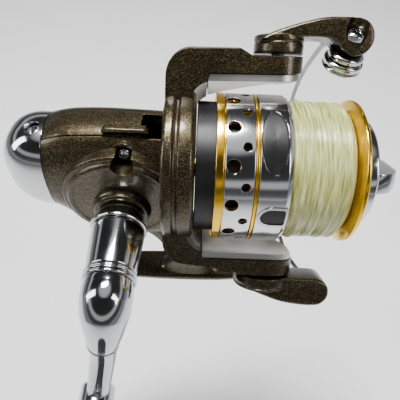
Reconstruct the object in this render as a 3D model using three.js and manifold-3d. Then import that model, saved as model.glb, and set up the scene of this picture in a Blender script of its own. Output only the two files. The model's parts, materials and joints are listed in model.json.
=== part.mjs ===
// Spinning reel: a front-drag fixed-spool fishing reel.
//
// Frame: millimetres, +Z up, +X towards the spool's nose. The origin is the centre of the
// foot's flat face, which lies on the rod. The handle is on the -Y side.
// Everything except the foot's face is laid out in the group "works", whose X axis is the
// axis of the main shaft. The rotor's pieces are laid out with its two arms along +Z and -Z
// in the group "turning", which is then turned about the shaft to its resting angle.

import * as THREE from "three";
import { mergeVertices } from "three/addons/utils/BufferGeometryUtils.js";
import Module from "manifold-3d";

const wasm = await Module();
wasm.setup();

// ---------------------------------------------------------------- driving dimensions
const SHAFT_HEIGHT = 74; // main shaft above the foot's face
const FOOT_SETBACK = 8; // works origin ahead of the foot's centre
const ROTOR_REST_DEG = 38; // how far the rotor is turned from arms-upright
const GAP = 0.3; // between pieces that touch

const FOOT = { length: 74, width: 15, thick: 4.6, tip: 2.2 };
const BODY = { rear: -50.5, front: -11.9, wall: 2.2, partingY: -7 };
const CRANK = { x: -25.9, z: -7 }; // handle axis, along Y
const SKIRT_R = 26; // outside of the spool's skirt
const LIP_R = 25.3;
const LINE_R = 24;
const ARM = { inner: 31, rear: -11.4, corner: 8, pivotX: 26, tipOuter: 38.8 };
const TIP_R = { upper: 8.6, lower: 10.8 }; // rounded ends of the rotor's arms
const BAIL = { wireR: 0.9, faceZ: 39.3, near: -8, far: 4.2 };
const SHAFT_R = 2.2;

// ---------------------------------------------------------------- finishes
const finish = (color, roughness, metalness) =>
  new THREE.MeshStandardMaterial({ color, roughness, metalness });
const bronzePaint = () => finish(0x3a3325, 0.38, 0.6);
const chrome = () => finish(0xd8dadc, 0.08, 1);
const gold = () => finish(0xd8a520, 0.25, 1);
const silver = () => finish(0xb9bbbd, 0.28, 1);
const steel = () => finish(0x9a9da0, 0.35, 1);
const brass = () => finish(0xb08d4a, 0.35, 1);
const blackPlastic = () => finish(0x101010, 0.5, 0);
const nylonLine = () => finish(0xc9d08a, 0.35, 0);

// ---------------------------------------------------------------- solids
function toSolid(geometry) {
  const bare = geometry.clone();
  bare.deleteAttribute("normal");
  bare.deleteAttribute("uv");
  const merged = mergeVertices(bare, 1e-4);
  return new wasm.Manifold(
    new wasm.Mesh({
      numProp: 3,
      vertProperties: new Float32Array(merged.attributes.position.array),
      triVerts: new Uint32Array(merged.index.array),
    }),
  );
}

function toGeometry(solid) {
  const mesh = solid.getMesh();
  const geometry = new THREE.BufferGeometry();
  geometry.setAttribute("position", new THREE.BufferAttribute(mesh.vertProperties, 3));
  geometry.setIndex(new THREE.BufferAttribute(mesh.triVerts, 1));
  geometry.computeVertexNormals();
  return geometry;
}

const joined = (...pieces) =>
  toGeometry(pieces.map(toSolid).reduce((whole, piece) => whole.add(piece)));
const cut = (piece, ...tools) =>
  toGeometry(tools.map(toSolid).reduce((left, tool) => left.subtract(tool), toSolid(piece)));
const shared = (a, b) => toGeometry(toSolid(a).intersect(toSolid(b)));

// ---------------------------------------------------------------- shapes
// A profile of [x, radius] points turned about the X axis.
function turned(profile, segments = 16) {
  let area = 0;
  profile.forEach(([x, r], i) => {
    const [nextX, nextR] = profile[(i + 1) % profile.length];
    area += r * nextX - nextR * x;
  });
  const ordered = area < 0 ? [...profile].reverse() : profile;
  const points = ordered.map(([x, r]) => new THREE.Vector2(r, x));
  return new THREE.LatheGeometry(points, segments).rotateZ(-Math.PI / 2);
}

// A ring or tube of the given radii between two x positions.
const ring = (outer, inner, x0, x1, segments = 16) =>
  turned([[x0, inner], [x0, outer], [x1, outer], [x1, inner], [x0, inner]], segments);
const disc = (radius, x0, x1, segments = 16) =>
  turned([[x0, 0], [x0, radius], [x1, radius], [x1, 0]], segments);

// Points on an arc, angles in degrees.
const arc = (cx, cy, radius, from, to, steps) =>
  Array.from({ length: steps + 1 }, (_, i) => {
    const angle = THREE.MathUtils.degToRad(from + ((to - from) * i) / steps);
    return [cx + radius * Math.cos(angle), cy + radius * Math.sin(angle)];
  });

const shapeOf = (points) => new THREE.Shape(points.map(([x, y]) => new THREE.Vector2(x, y)));

// An outline in the XY plane, extruded from z0 to z1.
const plate = (points, z0, z1) =>
  new THREE.ExtrudeGeometry(shapeOf(points), {
    depth: z1 - z0,
    bevelEnabled: false,
    steps: 1,
  }).translate(0, 0, z0);

// An outline in the XZ plane, extruded across Y from y0 to y1, its edges bevelled.
function slab(points, y0, y1, bevel = 0) {
  return new THREE.ExtrudeGeometry(shapeOf(points), {
    depth: y1 - y0 - 2 * bevel,
    steps: 1,
    bevelEnabled: bevel > 0,
    bevelThickness: bevel,
    bevelSize: bevel,
    bevelOffset: -bevel,
    bevelSegments: 2,
  })
    .rotateX(Math.PI / 2)
    .translate(0, y1 - bevel, 0);
}

const block = (x0, x1, y0, y1, z0, z1) =>
  new THREE.BoxGeometry(x1 - x0, y1 - y0, z1 - z0).translate(
    (x0 + x1) / 2,
    (y0 + y1) / 2,
    (z0 + z1) / 2,
  );

// A closed skin over rings of points, all with the same number of points.
function loft(rings) {
  const count = rings[0].length;
  const vertices = rings.flat();
  const faces = [];
  for (let i = 0; i + 1 < rings.length; i++)
    for (let j = 0; j < count; j++) {
      const a = i * count + j;
      const b = i * count + ((j + 1) % count);
      faces.push([a, b, b + count], [a, b + count, a + count]);
    }
  [0, rings.length - 1].forEach((end, side) => {
    const centre = vertices.length;
    const middle = rings[end].reduce((sum, p) => sum.add(p), new THREE.Vector3());
    vertices.push(middle.divideScalar(count));
    for (let j = 0; j < count; j++) {
      const a = end * count + j;
      const b = end * count + ((j + 1) % count);
      faces.push(side ? [a, b, centre] : [b, a, centre]);
    }
  });
  const volume = faces.reduce((sum, [a, b, c]) => {
    const normal = new THREE.Vector3().crossVectors(vertices[b], vertices[c]);
    return sum + normal.dot(vertices[a]);
  }, 0);
  const geometry = new THREE.BufferGeometry();
  geometry.setAttribute(
    "position",
    new THREE.Float32BufferAttribute(vertices.flatMap((p) => [p.x, p.y, p.z]), 3),
  );
  geometry.setIndex(faces.flatMap(([a, b, c]) => (volume < 0 ? [a, c, b] : [a, b, c])));
  geometry.computeVertexNormals();
  return geometry;
}

// A tube whose radius changes along a smooth path through the given points.
function taperedTube(points, radii, steps, sides) {
  const path = new THREE.CatmullRomCurve3(points.map((p) => new THREE.Vector3(...p)));
  const frames = path.computeFrenetFrames(steps, false);
  const rings = [];
  for (let i = 0; i <= steps; i++) {
    const along = (i / steps) * (radii.length - 1);
    const before = Math.min(Math.floor(along), radii.length - 2);
    const radius = THREE.MathUtils.lerp(radii[before], radii[before + 1], along - before);
    const centre = path.getPoint(i / steps);
    rings.push(
      Array.from({ length: sides }, (_, j) => {
        const angle = (j / sides) * 2 * Math.PI;
        return centre
          .clone()
          .addScaledVector(frames.normals[i], radius * Math.cos(angle))
          .addScaledVector(frames.binormals[i], radius * Math.sin(angle));
      }),
    );
  }
  return loft(rings);
}

// A superellipse across the shaft at x, from bottom to top in Z.
function hoop(x, halfWidth, bottom, top, power, count = 22) {
  const middle = (top + bottom) / 2;
  const half = (top - bottom) / 2;
  const bulge = (value) => Math.sign(value) * Math.abs(value) ** (2 / power);
  return Array.from({ length: count }, (_, j) => {
    const angle = (j / count) * 2 * Math.PI;
    return new THREE.Vector3(
      x,
      halfWidth * bulge(Math.cos(angle)),
      middle + half * bulge(Math.sin(angle)),
    );
  });
}

// A pan-head screw pointing along -X, its head's top at x = 0, with a cross recess.
function screw(headR, shankR, length) {
  const headHeight = headR * 0.7;
  const body = turned(
    [
      [-length, 0],
      [-length, shankR],
      [-headHeight, shankR],
      [-headHeight, headR],
      [-headHeight * 0.3, headR * 0.9],
      [0, headR * 0.55],
      [0, 0],
    ],
    8,
  );
  const slot = headR * 0.16;
  const reach = headR * 0.55;
  const deep = -headHeight * 0.6;
  return cut(
    body,
    block(deep, 1, -reach, reach, -slot, slot),
    block(deep, 1, -slot, slot, -reach, reach),
  );
}

// Spur teeth around the X axis: a bored blank with blocks cut out between the teeth.
function gear(teeth, tipR, rootR, boreR, x0, x1) {
  const outline = [];
  for (let i = 0; i < teeth; i++)
    [
      [0, rootR],
      [0.25, tipR],
      [0.5, tipR],
      [0.75, rootR],
    ].forEach(([part, radius]) => {
      const angle = ((i + part) / teeth) * 2 * Math.PI;
      outline.push([radius * Math.cos(angle), radius * Math.sin(angle)]);
    });
  const wheel = plate(outline, x0, x1).rotateY(Math.PI / 2);
  return cut(wheel, disc(boreR, x0 - 1, x1 + 1));
}

// Turn a piece made along +X so that its +X end points along a direction, then place it.
function aim(geometry, direction, [x, y, z]) {
  const turn = new THREE.Quaternion().setFromUnitVectors(
    new THREE.Vector3(1, 0, 0),
    new THREE.Vector3(...direction).normalize(),
  );
  return geometry.applyQuaternion(turn).translate(x, y, z);
}
// A piece made along +X stood on the handle's axis: its x becomes the distance towards -Y.
const onCrank = (geometry) => aim(geometry, [0, -1, 0], [CRANK.x, 0, CRANK.z]);

// ---------------------------------------------------------------- groups
const reel = new THREE.Group();
const works = new THREE.Group();
works.position.set(FOOT_SETBACK, 0, SHAFT_HEIGHT);
reel.add(works);
const turning = new THREE.Group();
turning.rotation.x = -THREE.MathUtils.degToRad(ROTOR_REST_DEG);
works.add(turning);

function add(group, name, geometry, material) {
  const mesh = new THREE.Mesh(geometry, material);
  mesh.name = name;
  group.add(mesh);
}

// ---------------------------------------------------------------- body shells
// Cross-sections of the body along the shaft: x, half width, bottom, top, squareness.
const BODY_HOOPS = [
  [BODY.rear, 13.8, -17, 18, 2.4],
  [-47, 13.8, -20.5, 19.2, 2.5],
  [-43, 13.7, -24, 19.9, 2.7],
  [-37, 13.6, -28, 20.3, 2.9],
  [-31, 13.5, -31, 20.5, 3],
  [-24, 13.4, -33.2, 20.5, 3],
  [BODY.front, 13.2, -34, 20.3, 3],
];

function bodySkin(inset, x0, x1) {
  const last = BODY_HOOPS.length - 1;
  return loft(
    BODY_HOOPS.map(([x, halfWidth, bottom, top, power], i) =>
      hoop(
        i === 0 ? x0 : i === last ? x1 : x,
        halfWidth - inset,
        bottom + inset,
        top - inset,
        power,
      ),
    ),
  );
}

const NECK_R = 21;
const CAVITY_FRONT = -11.6;
const COLLAR = { r: 12.6, bore: 10.3, front: -4.4 };
const gearRoom = () =>
  joined(
    bodySkin(BODY.wall, BODY.rear - 1, BODY.front - 1),
    // the way into the neck keeps clear of both side walls
    shared(
      disc(NECK_R - BODY.wall - 1, BODY.front - 8, CAVITY_FRONT, 28),
      block(BODY.front - 9, CAVITY_FRONT + 1, BODY.wall - 13.2, 13.2 - BODY.wall, -30, 30),
    ),
  );

function footSolid() {
  const stations = 11;
  const rings = [];
  for (let i = 0; i < stations; i++) {
    const along = (2 * i) / (stations - 1) - 1;
    const taper = Math.sqrt(Math.max(0, 1 - Math.abs(along) ** 6));
    const halfWidth = (FOOT.width / 2) * (0.28 + 0.72 * taper) * (1 - 0.2 * along * along);
    const thick = THREE.MathUtils.lerp(FOOT.tip, FOOT.thick, (1 - along * along) ** 0.6);
    rings.push(
      [
        [-1, 0],
        [1, 0],
        [1, 0.45],
        [0.78, 0.85],
        [0.4, 1],
        [-0.4, 1],
        [-0.78, 0.85],
        [-1, 0.45],
      ].map(
        ([side, up]) =>
          new THREE.Vector3(
            (along * FOOT.length) / 2 - FOOT_SETBACK,
            side * halfWidth,
            up * thick - SHAFT_HEIGHT,
          ),
      ),
    );
  }
  return loft(rings);
}

// The leg between the body and the foot, seen from the side.
const LEG = [
  [-34, -22],
  [-32.5, -26],
  [-27, -32],
  [-20, -40],
  [-14.5, -50],
  [-12, -60],
  [-13, -66],
  [-18, -70.5],
  [14, -70.5],
  [8, -67],
  [4, -61.5],
  [0, -53],
  [-6, -44],
  [-12.6, -38.5],
  [-16, -34],
  [-16, -22],
];

const housing = () => {
  const shell = shared(
    bodySkin(0, BODY.rear, BODY.front),
    block(-70, 20, BODY.partingY + GAP / 2, 40, -60, 40),
  );
  const neck = joined(
    disc(NECK_R, BODY.front - 0.5, CAVITY_FRONT + 2, 32),
    disc(COLLAR.r, CAVITY_FRONT, COLLAR.front, 24),
  );
  const farBoss = aim(disc(9, 9, 15.2, 20), [0, 1, 0], [CRANK.x, 0, CRANK.z]);
  const whole = joined(shell, neck, slab(LEG, -4.6, 4.6, 1.6), footSolid(), farBoss);
  return cut(
    whole,
    gearRoom(),
    disc(COLLAR.bore, CAVITY_FRONT - 1, COLLAR.front + 1, 24),
    aim(disc(6.6, 9, 20, 24), [0, 1, 0], [CRANK.x, 0, CRANK.z]),
    // the neck starts just ahead of the side cover's edge
    block(BODY.front - 4, BODY.front + GAP, -30, BODY.partingY + GAP / 2, -30, 30),
    // trip pocket in the front shoulder, and the switch's slot
    block(-18.6, BODY.front + 0.9, -9, 3, 15, 30),
    block(-27.5, -22, -6.3, -5.2, 15, 30),
  );
};
add(works, "reel_body", housing(), bronzePaint());

const coverGeometry = () => {
  const half = block(-70, BODY.front, -40, BODY.partingY - GAP / 2, -60, 40);
  const shell = shared(bodySkin(0, BODY.rear, BODY.front), half);
  const step = (radius, y0, y1) => onCrank(disc(radius, y0, y1, 28)).translate(0, 0, 3);
  const raised = shared(joined(step(20.6, 9, 14.4), step(18.5, 9, 15.7)), half);
  const boss = onCrank(
    turned(
      [
        [9, 0],
        [9, 10.2],
        [15.9, 10.2],
        [17.8, 9.7],
        [18.4, 9.1],
        [18.4, 0],
      ],
      28,
    ),
  );
  const screwWells = COVER_SCREWS.map(([x, z, depth]) =>
    aim(disc(3.6, depth, 30, 12), [0, -1, 0], [x, 0, z]),
  );
  const screwPosts = COVER_SCREWS.map(([x, z, depth]) =>
    aim(disc(4.7, 7.2, depth + 1.4, 12), [0, -1, 0], [x, 0, z]),
  );
  const screwHoles = COVER_SCREWS.map(([x, z]) =>
    aim(disc(1.7, 0, 30, 8), [0, -1, 0], [x, 0, z]),
  );
  return cut(
    joined(cut(joined(shell, raised, boss), gearRoom()), ...screwPosts),
    onCrank(disc(6.9, 0, 17.4)),
    onCrank(disc(5.4, 0, 30)),
    ...screwWells,
    ...screwHoles,
  );
};
// Side-cover screws: x, z and the depth of the head's seat from the shaft's plane.
const COVER_SCREWS = [
  [-23.8, 13.7, 8.2],
  [-21.8, -24.6, 8.2],
];
add(works, "side_cover", coverGeometry(), bronzePaint());

// ---------------------------------------------------------------- rear cap
const CAP_LENGTH = 17;
const capHoops = (inset, front) =>
  [0, 0.35, 0.62, 0.82, 0.95, 1].map((along) => {
    const [, halfWidth, bottom, top, power] = BODY_HOOPS[0];
    const shrink = Math.sqrt(1 - (along * 0.985) ** 2.6);
    const middle = (top + bottom) / 2;
    const half = ((top - bottom) / 2 - inset) * shrink;
    return hoop(
      (along ? BODY.rear - GAP : front) - (CAP_LENGTH - inset) * along,
      (halfWidth - inset) * shrink,
      middle - half + along * 1.5,
      middle + half + along * 0.5,
      power,
    );
  });
const CAP_SCREW = { at: [-54.3, -2.7, 16.9], towards: [-0.14, -0.12, 0.98] };
const capWell = (radius, from, to) =>
  aim(disc(radius, from, to, 16), CAP_SCREW.towards, CAP_SCREW.at);
add(
  works,
  "rear_cap",
  cut(
    joined(loft(capHoops(0, BODY.rear - GAP)), capWell(3.1, -3.4, -1.2)),
    cut(loft(capHoops(1.8, BODY.rear + 1)), capWell(3.1, -3.4, 0)),
    capWell(1.5, -9, 9),
    capWell(2.6, -1.9, 9),
  ),
  chrome(),
);
add(
  works,
  "rear_cap_screw",
  aim(screw(2.3, 1.2, 4.8), CAP_SCREW.towards, CAP_SCREW.at),
  chrome(),
);

// ---------------------------------------------------------------- fixed pieces inside and on the body
COVER_SCREWS.forEach(([x, z, depth], i) =>
  add(
    works,
    `side_cover_screw_${i + 1}`,
    aim(screw(2.4, 1.3, 5), [0, -1, 0], [x, -depth - 2, z]),
    chrome(),
  ),
);
add(works, "drive_bearing_near", onCrank(ring(6.6, 3.9, 13.9, 17.1)), steel());
add(
  works,
  "drive_bearing_far",
  aim(ring(6.3, 3.9, 9.6, 12.8), [0, 1, 0], [CRANK.x, 0, CRANK.z]),
  steel(),
);
const COLLAR_FIT = COLLAR.bore - GAP;
add(works, "pinion_bearing", ring(COLLAR_FIT, 4.2, -11.3, -8.9), steel());
add(works, "anti_reverse_clutch", ring(COLLAR_FIT, 4.2, -8.6, -4.6), brass());
// the guide rod stands in a plate behind the slider, which the main shaft runs through
add(works, "guide_rod_plate", ring(11.1, 2.6, -56.4, -54.3, 24), steel());
add(works, "slider_guide_rod", disc(1.2, -54, -31.2, 12).translate(0, 1.2, -9.4), steel());
const SWITCH_BAR = [
  [-30.4, 20.6],
  [-30.2, 21.8],
  [-29.4, 22.2],
  [-17.4, 22.2],
  [-16.6, 21.8],
  [-16.4, 20.6],
];
add(
  works,
  "anti_reverse_switch",
  joined(
    slab(SWITCH_BAR, -7.2, -4.4, 0.5),
    block(-24.4, -22.6, -6, -5.5, 17.2, 21),
  ),
  bronzePaint(),
);

// ---------------------------------------------------------------- crank: shaft, gears and handle
const crank = new THREE.Group();
works.add(crank);
add(
  crank,
  "drive_shaft",
  onCrank(turned([[-13.2, 0], [-13.2, 3.6], [18.6, 3.6], [18.6, 2.9], [23, 2.9], [23, 0]], 16)),
  steel(),
);
const FACE_GEAR = { teeth: 30, outer: 12.6, inner: 9.2, face: -5.2, back: -8.8 };
const PINION_TEETH = 6;
const toothGaps = Array.from({ length: FACE_GEAR.teeth }, (_, i) =>
  block(
    FACE_GEAR.face - 1,
    FACE_GEAR.face + 1,
    -0.42,
    0.42,
    FACE_GEAR.inner - 1,
    FACE_GEAR.outer + 1,
  ).rotateX((i / FACE_GEAR.teeth) * 2 * Math.PI),
);
add(
  crank,
  "drive_gear",
  onCrank(
    cut(
      joined(
        ring(FACE_GEAR.outer, 3.9, FACE_GEAR.back, FACE_GEAR.back + 2, 24),
        ring(FACE_GEAR.outer, FACE_GEAR.inner, FACE_GEAR.back + 1, FACE_GEAR.face, 24),
      ),
      ...toothGaps,
    ),
  ),
  brass(),
);
add(crank, "oscillation_pinion", onCrank(gear(10, 5.7, 4.8, 3.9, 7.2, 9.2)), steel());
add(
  crank,
  "handle_hub",
  onCrank(
    turned(
      [
        [18.9, 3.2],
        [18.9, 7.6],
        [20.2, 8.2],
        [23.4, 8.9],
        [24.2, 9.6],
        [24.9, 9.7],
        [25.2, 9.4],
        [25.2, 3.2],
        [18.9, 3.2],
      ],
      28,
    ),
  ),
  chrome(),
);
add(
  crank,
  "handle_sleeve",
  onCrank(turned([[25.5, 0], [25.5, 9.1], [41.5, 8], [41.5, 0]], 28)),
  chrome(),
);
add(
  crank,
  "handle_collar",
  onCrank(
    turned(
      [
        [41.8, 0],
        [41.8, 8.1],
        [42.2, 8.5],
        [42.8, 8.1],
        [43.9, 8.1],
        [44.4, 8.5],
        [44.9, 8.1],
        [44.9, 0],
      ],
      28,
    ),
  ),
  chrome(),
);
const ARM_END = [-31.2, -69, -43.5];
add(
  crank,
  "handle_arm",
  joined(
    taperedTube(
      [
        [CRANK.x, -45.2, CRANK.z],
        [CRANK.x, -46.8, CRANK.z],
        [CRANK.x, -49.6, CRANK.z - 0.4],
        [CRANK.x - 0.2, -53, CRANK.z - 3],
        [CRANK.x - 0.8, -56.6, CRANK.z - 9],
        [CRANK.x - 1.4, -58.6, CRANK.z - 13.6],
        [CRANK.x - 2, -60.3, CRANK.z - 19],
        [CRANK.x - 3.5, -64.4, CRANK.z - 27.6],
        ARM_END,
      ],
      [8, 8.1, 8.1, 7.8, 6, 4.7, 4.4, 4.1, 3.9],
      20,
      14,
    ),
    aim(disc(5.8, -4.2, 5.2, 24), [0, -1, 0], ARM_END),
  ),
  chrome(),
);

// ---------------------------------------------------------------- handle knob
const knob = new THREE.Group();
crank.add(knob);
const onKnob = (geometry) => aim(geometry, [0, -1, 0], ARM_END);
add(crank, "knob_spindle", onKnob(disc(1.9, 5.5, 32, 16)), steel());
add(
  knob,
  "handle_knob",
  onKnob(
    turned(
      [
        [9, 2.4],
        [9, 6.6],
        [10, 7.4],
        [13, 7.6],
        [17, 8.6],
        [23, 10.4],
        [28, 11.2],
        [32, 10.6],
        [34.4, 8],
        [35, 5],
        [35, 0],
        [32.6, 0],
        [32.6, 2.4],
        [9, 2.4],
      ],
      28,
    ).scale(1, 1, 0.86),
  ),
  blackPlastic(),
);
add(knob, "knob_collar", onKnob(ring(6.4, 2.4, 6, 8.7, 20)), chrome());

// the handle is held from the far side by a long screw with a knurled cap
add(
  crank,
  "handle_screw_cap",
  aim(
    turned([[15.5, 0], [15.5, 7.8], [16.4, 8.2], [19.6, 7.6], [20.8, 6], [20.8, 0]], 20),
    [0, 1, 0],
    [CRANK.x, 0, CRANK.z],
  ),
  chrome(),
);

// ---------------------------------------------------------------- oscillation gear and slider
const OSC = { x: -40.7, z: -6.4, throw: 6.2 };
const oscillation = new THREE.Group();
works.add(oscillation);
add(
  oscillation,
  "oscillation_gear",
  joined(
    aim(gear(14, 8.6, 7.6, 1.5, 7.2, 9.2), [0, -1, 0], [OSC.x, 0, OSC.z]),
    aim(disc(1.5, 6, 8, 16), [0, -1, 0], [OSC.x + OSC.throw, 0, OSC.z]),
  ),
  brass(),
);
add(
  works,
  "oscillation_gear_post",
  aim(disc(1.2, 6.6, 10.9, 16), [0, -1, 0], [OSC.x, 0, OSC.z]),
  steel(),
);

const shaftGroup = new THREE.Group();
works.add(shaftGroup);
const SLIDER = { x0: -51.6, x1: -46 };
add(
  shaftGroup,
  "main_shaft",
  turned([[-58, 0], [-58, SHAFT_R], [56, SHAFT_R], [56, 0]], 20),
  steel(),
);
add(
  shaftGroup,
  "oscillation_slider",
  cut(
    block(SLIDER.x0, SLIDER.x1, -5.4, 3.6, -11.6, 4.2),
    disc(SHAFT_R + GAP, -60, -40, 20),
    disc(1.6, -60, -40, 12).translate(0, 1.2, -9.4),
    block(SLIDER.x0 + 1.2, SLIDER.x1 - 1.2, -6, -3.6, -10.8, -2.8),
  ),
  brass(),
);

// ---------------------------------------------------------------- rotor
const rotorProfile = [
  [-11.4, 23.6],
  [-11.4, 26.1],
  [-8.2, 26.6],
  [-7.5, 25.6],
  [-6.6, 25.6],
  [-6, 26.4],
  [-2.1, 26],
  [-1, 25],
  [-1, 4.9],
  [-3.6, 4.9],
  [-3.6, 23.6],
  [-11.4, 23.6],
];
const cornerX = ARM.rear + ARM.corner;
const COVER_THICK = 2.1;
// Cross-section of an arm through the shaft: its back's points run from the corner to the tip.
const armProfile = (cornerR, back, tipX) => [
  [-9, 24.6],
  [ARM.rear, 24.6],
  ...arc(cornerX, cornerR - ARM.corner, ARM.corner, 180, 92, 6),
  ...back,
  [tipX, ARM.tipOuter],
  [tipX, ARM.inner + COVER_THICK + GAP],
  [2.4, ARM.inner + COVER_THICK + GAP],
  [2.4, ARM.inner],
  ...arc(3.5, ARM.inner - 7, 7, 100, 180, 4),
  [-4.5, 24.6],
  [-9, 24.6],
];
const armOutline = (tipR, inset) => [
  [-16, -12.5 + inset],
  [6, -10.6 + inset],
  ...arc(ARM.pivotX, 0, tipR - inset, -95, 95, 10),
  [6, 17 - inset],
  [-16, 25 - inset],
];
const otherSide = (geometry) => {
  const flipped = toSolid(geometry).mirror([0, 0, 1]);
  return toGeometry(flipped);
};
const upright = (geometry) => aim(geometry, [0, 0, 1], [ARM.pivotX, 0, 0]);
const armOf = (cornerR, back, tipR) =>
  cut(
    shared(
      turned(armProfile(cornerR, back, ARM.pivotX + tipR), 36),
      plate(armOutline(tipR, 0), 10, 60),
    ),
    upright(disc(2.4, 25, 60, 16)),
    block(6, 21, -2.4, 2.4, 30, 36.6),
  );
const upperArm = armOf(40.6, [[12.6, 40.9], [16.4, ARM.tipOuter]], TIP_R.upper);
const lowerArm = armOf(35.6, [[14, 37.4], [16.6, ARM.tipOuter]], TIP_R.lower);
const rotorBase = cut(turned(rotorProfile, 36), block(-20, -10.4, -1.2, 1.2, 22, 28));
add(turning, "rotor", joined(rotorBase, upperArm, otherSide(lowerArm)), bronzePaint());

const armCover = (tipR) =>
  shared(
    ring(ARM.inner + COVER_THICK, ARM.inner, 2.7, ARM.pivotX + tipR - 0.8, 36),
    plate(armOutline(tipR, 0.5), 10, 60),
  );
add(turning, "arm_cover_upper", armCover(TIP_R.upper), bronzePaint());
add(turning, "arm_cover_lower", otherSide(armCover(TIP_R.lower)), bronzePaint());
add(turning, "bail_spring", disc(1.7, 7, 20, 12).translate(0, 0, 34.9), steel());
const pivotPin = upright(disc(2.1, 33.6, 41.8, 14));
add(turning, "bail_pivot_pin_upper", pivotPin, steel());
add(turning, "bail_pivot_pin_lower", otherSide(pivotPin), steel());

// the pinion runs through the neck and carries the rotor, which its nut holds
add(
  turning,
  "pinion_gear",
  cut(
    joined(gear(PINION_TEETH, 4.8, 3.7, 2.6, -20.6, -13.2), ring(3.9, 2.6, -13.6, 3.3)),
    disc(2.6, -30, 10),
  ),
  brass(),
);
add(turning, "rotor_nut", gear(6, 7, 6.1, 4.2, -0.7, 2.6), steel());
add(
  turning,
  "rotor_cup",
  turned(
    [
      [-0.7, 7.6],
      [-0.7, 23],
      [22, 23],
      [22, 21.8],
      [0.8, 21.6],
      [0.8, 7.6],
      [-0.7, 7.6],
    ],
    28,
  ),
  blackPlastic(),
);

// ---------------------------------------------------------------- bail
const bail = new THREE.Group();
turning.add(bail);
const bailBoss = (tipR, top) => upright(disc(tipR - 0.2, BAIL.faceZ, top, 28));
const leverBore = upright(disc(2.4, 30, 42.2, 16));
const UPPER_LEVER = [
  [18.6, 41.8],
  [18.4, 43],
  [22, 45.2],
  [27, 47.2],
  [33, 49.1],
  [40, 50.7],
  ...arc(49.6, 45, 6.1, 100, -95, 9),
  [45.6, 41],
  [43.4, 43.4],
  [40.4, 44.4],
  [27, 44.4],
];
const LOWER_LEVER = [
  [15.6, 39.3],
  [16, 40.8],
  [20.5, 44],
  [26.7, 46.9],
  [33, 49],
  [40.5, 50],
  ...arc(45.2, 44.7, 5.3, 80, -90, 7),
];
const ROLLER = { axis: [-0.12, 0.6, -0.79], screwAt: [49.6, -7.7, 47], r: 6.9, collarR: 6 };
const onRoller = (geometry) => aim(geometry, ROLLER.axis, ROLLER.screwAt);
add(
  bail,
  "bail_arm_upper",
  cut(
    joined(slab(UPPER_LEVER, BAIL.near, BAIL.far), bailBoss(TIP_R.upper, 45)),
    leverBore,
    onRoller(disc(1.6, -5, 30, 12)),
    onRoller(disc(3.6, -5, 2.9, 12)),
    onRoller(disc(ROLLER.collarR + GAP, 7.4, 20, 16)),
    onRoller(disc(ROLLER.r + 2 * GAP, 9.6, 20, 16)),
  ),
  bronzePaint(),
);
add(
  bail,
  "bail_arm_lower",
  otherSide(
    cut(
      joined(slab(LOWER_LEVER, BAIL.near, BAIL.far), bailBoss(TIP_R.lower, 44)),
      leverBore,
    ),
  ),
  bronzePaint(),
);
add(bail, "roller_collar", onRoller(ring(ROLLER.collarR, 1.6, 7.7, 9.6, 20)), chrome());
add(
  bail,
  "roller_screw",
  onRoller(screw(3.3, 1.3, 16).rotateY(Math.PI).translate(0.3, 0, 0)),
  chrome(),
);
const roller = new THREE.Group();
bail.add(roller);
add(
  roller,
  "line_roller",
  onRoller(
    turned(
      [
        [9.9, 1.6],
        [9.9, 5.4],
        [10.5, ROLLER.r],
        [13.1, ROLLER.r],
        [13.9, 6.2],
        [13.9, 1.6],
        [9.9, 1.6],
      ],
      22,
    ),
  ),
  chrome(),
);
add(
  bail,
  "bail_wire",
  taperedTube(
    [
      [44.6, BAIL.far + GAP, 45],
      [43.4, 12, 43.6],
      [42.8, 34, 35.6],
      [42.8, 50, 24],
      [43, 60, 4],
      [41.8, 56, -17],
      [39.8, 42.5, -31.4],
      [39.6, 31, -37.6],
      [41.2, 19, -41.6],
      [44.4, BAIL.far + GAP, -44.2],
    ],
    [BAIL.wireR, BAIL.wireR],
    26,
    6,
  ),
  steel(),
);

// ---------------------------------------------------------------- spool
const spool = new THREE.Group();
shaftGroup.add(spool);
const LINER = { outer: 24.9, inner: 23.7, rear: 6 };
const HOLE_COUNT = 13;
const BIG_HOLES = { r: 2.2, x: 11, deg: 43.3 };
const SMALL_HOLES = { r: 1.5, x: 15.1, deg: 29.9 };
const holeRow = ({ r, x, deg }) =>
  Array.from({ length: HOLE_COUNT }, (_, i) =>
    aim(disc(r, 20, 30, 7), [0, 0, 1], [x, 0, 0]).rotateX(
      THREE.MathUtils.degToRad(deg + (360 / HOLE_COUNT) * i),
    ),
  );
add(
  spool,
  "spool_body",
  cut(
    turned(
      [
        [LINER.rear, LINER.inner],
        [LINER.rear, LINER.outer],
        [29, LINER.outer],
        [29, 14],
        [50.2, 14],
        [50.2, 11],
        [30.6, 11],
        [30.6, 2.6],
        [26.6, 2.6],
        [26.6, LINER.inner],
        [LINER.rear, LINER.inner],
      ],
      28,
    ),
    ...holeRow(BIG_HOLES),
    ...holeRow(SMALL_HOLES),
  ),
  gold(),
);
add(spool, "skirt_rear_ring", ring(SKIRT_R, LINER.outer + GAP, 5.5, 8.1, 36), gold());
add(
  spool,
  "spool_skirt",
  cut(
    ring(SKIRT_R, LINER.outer + GAP, 8.4, 17.6, 36),
    ...holeRow(BIG_HOLES),
    ...holeRow(SMALL_HOLES),
  ),
  silver(),
);
add(spool, "skirt_trim_ring", ring(SKIRT_R, LINER.outer + GAP, 17.9, 18.8, 36), gold());
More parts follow.
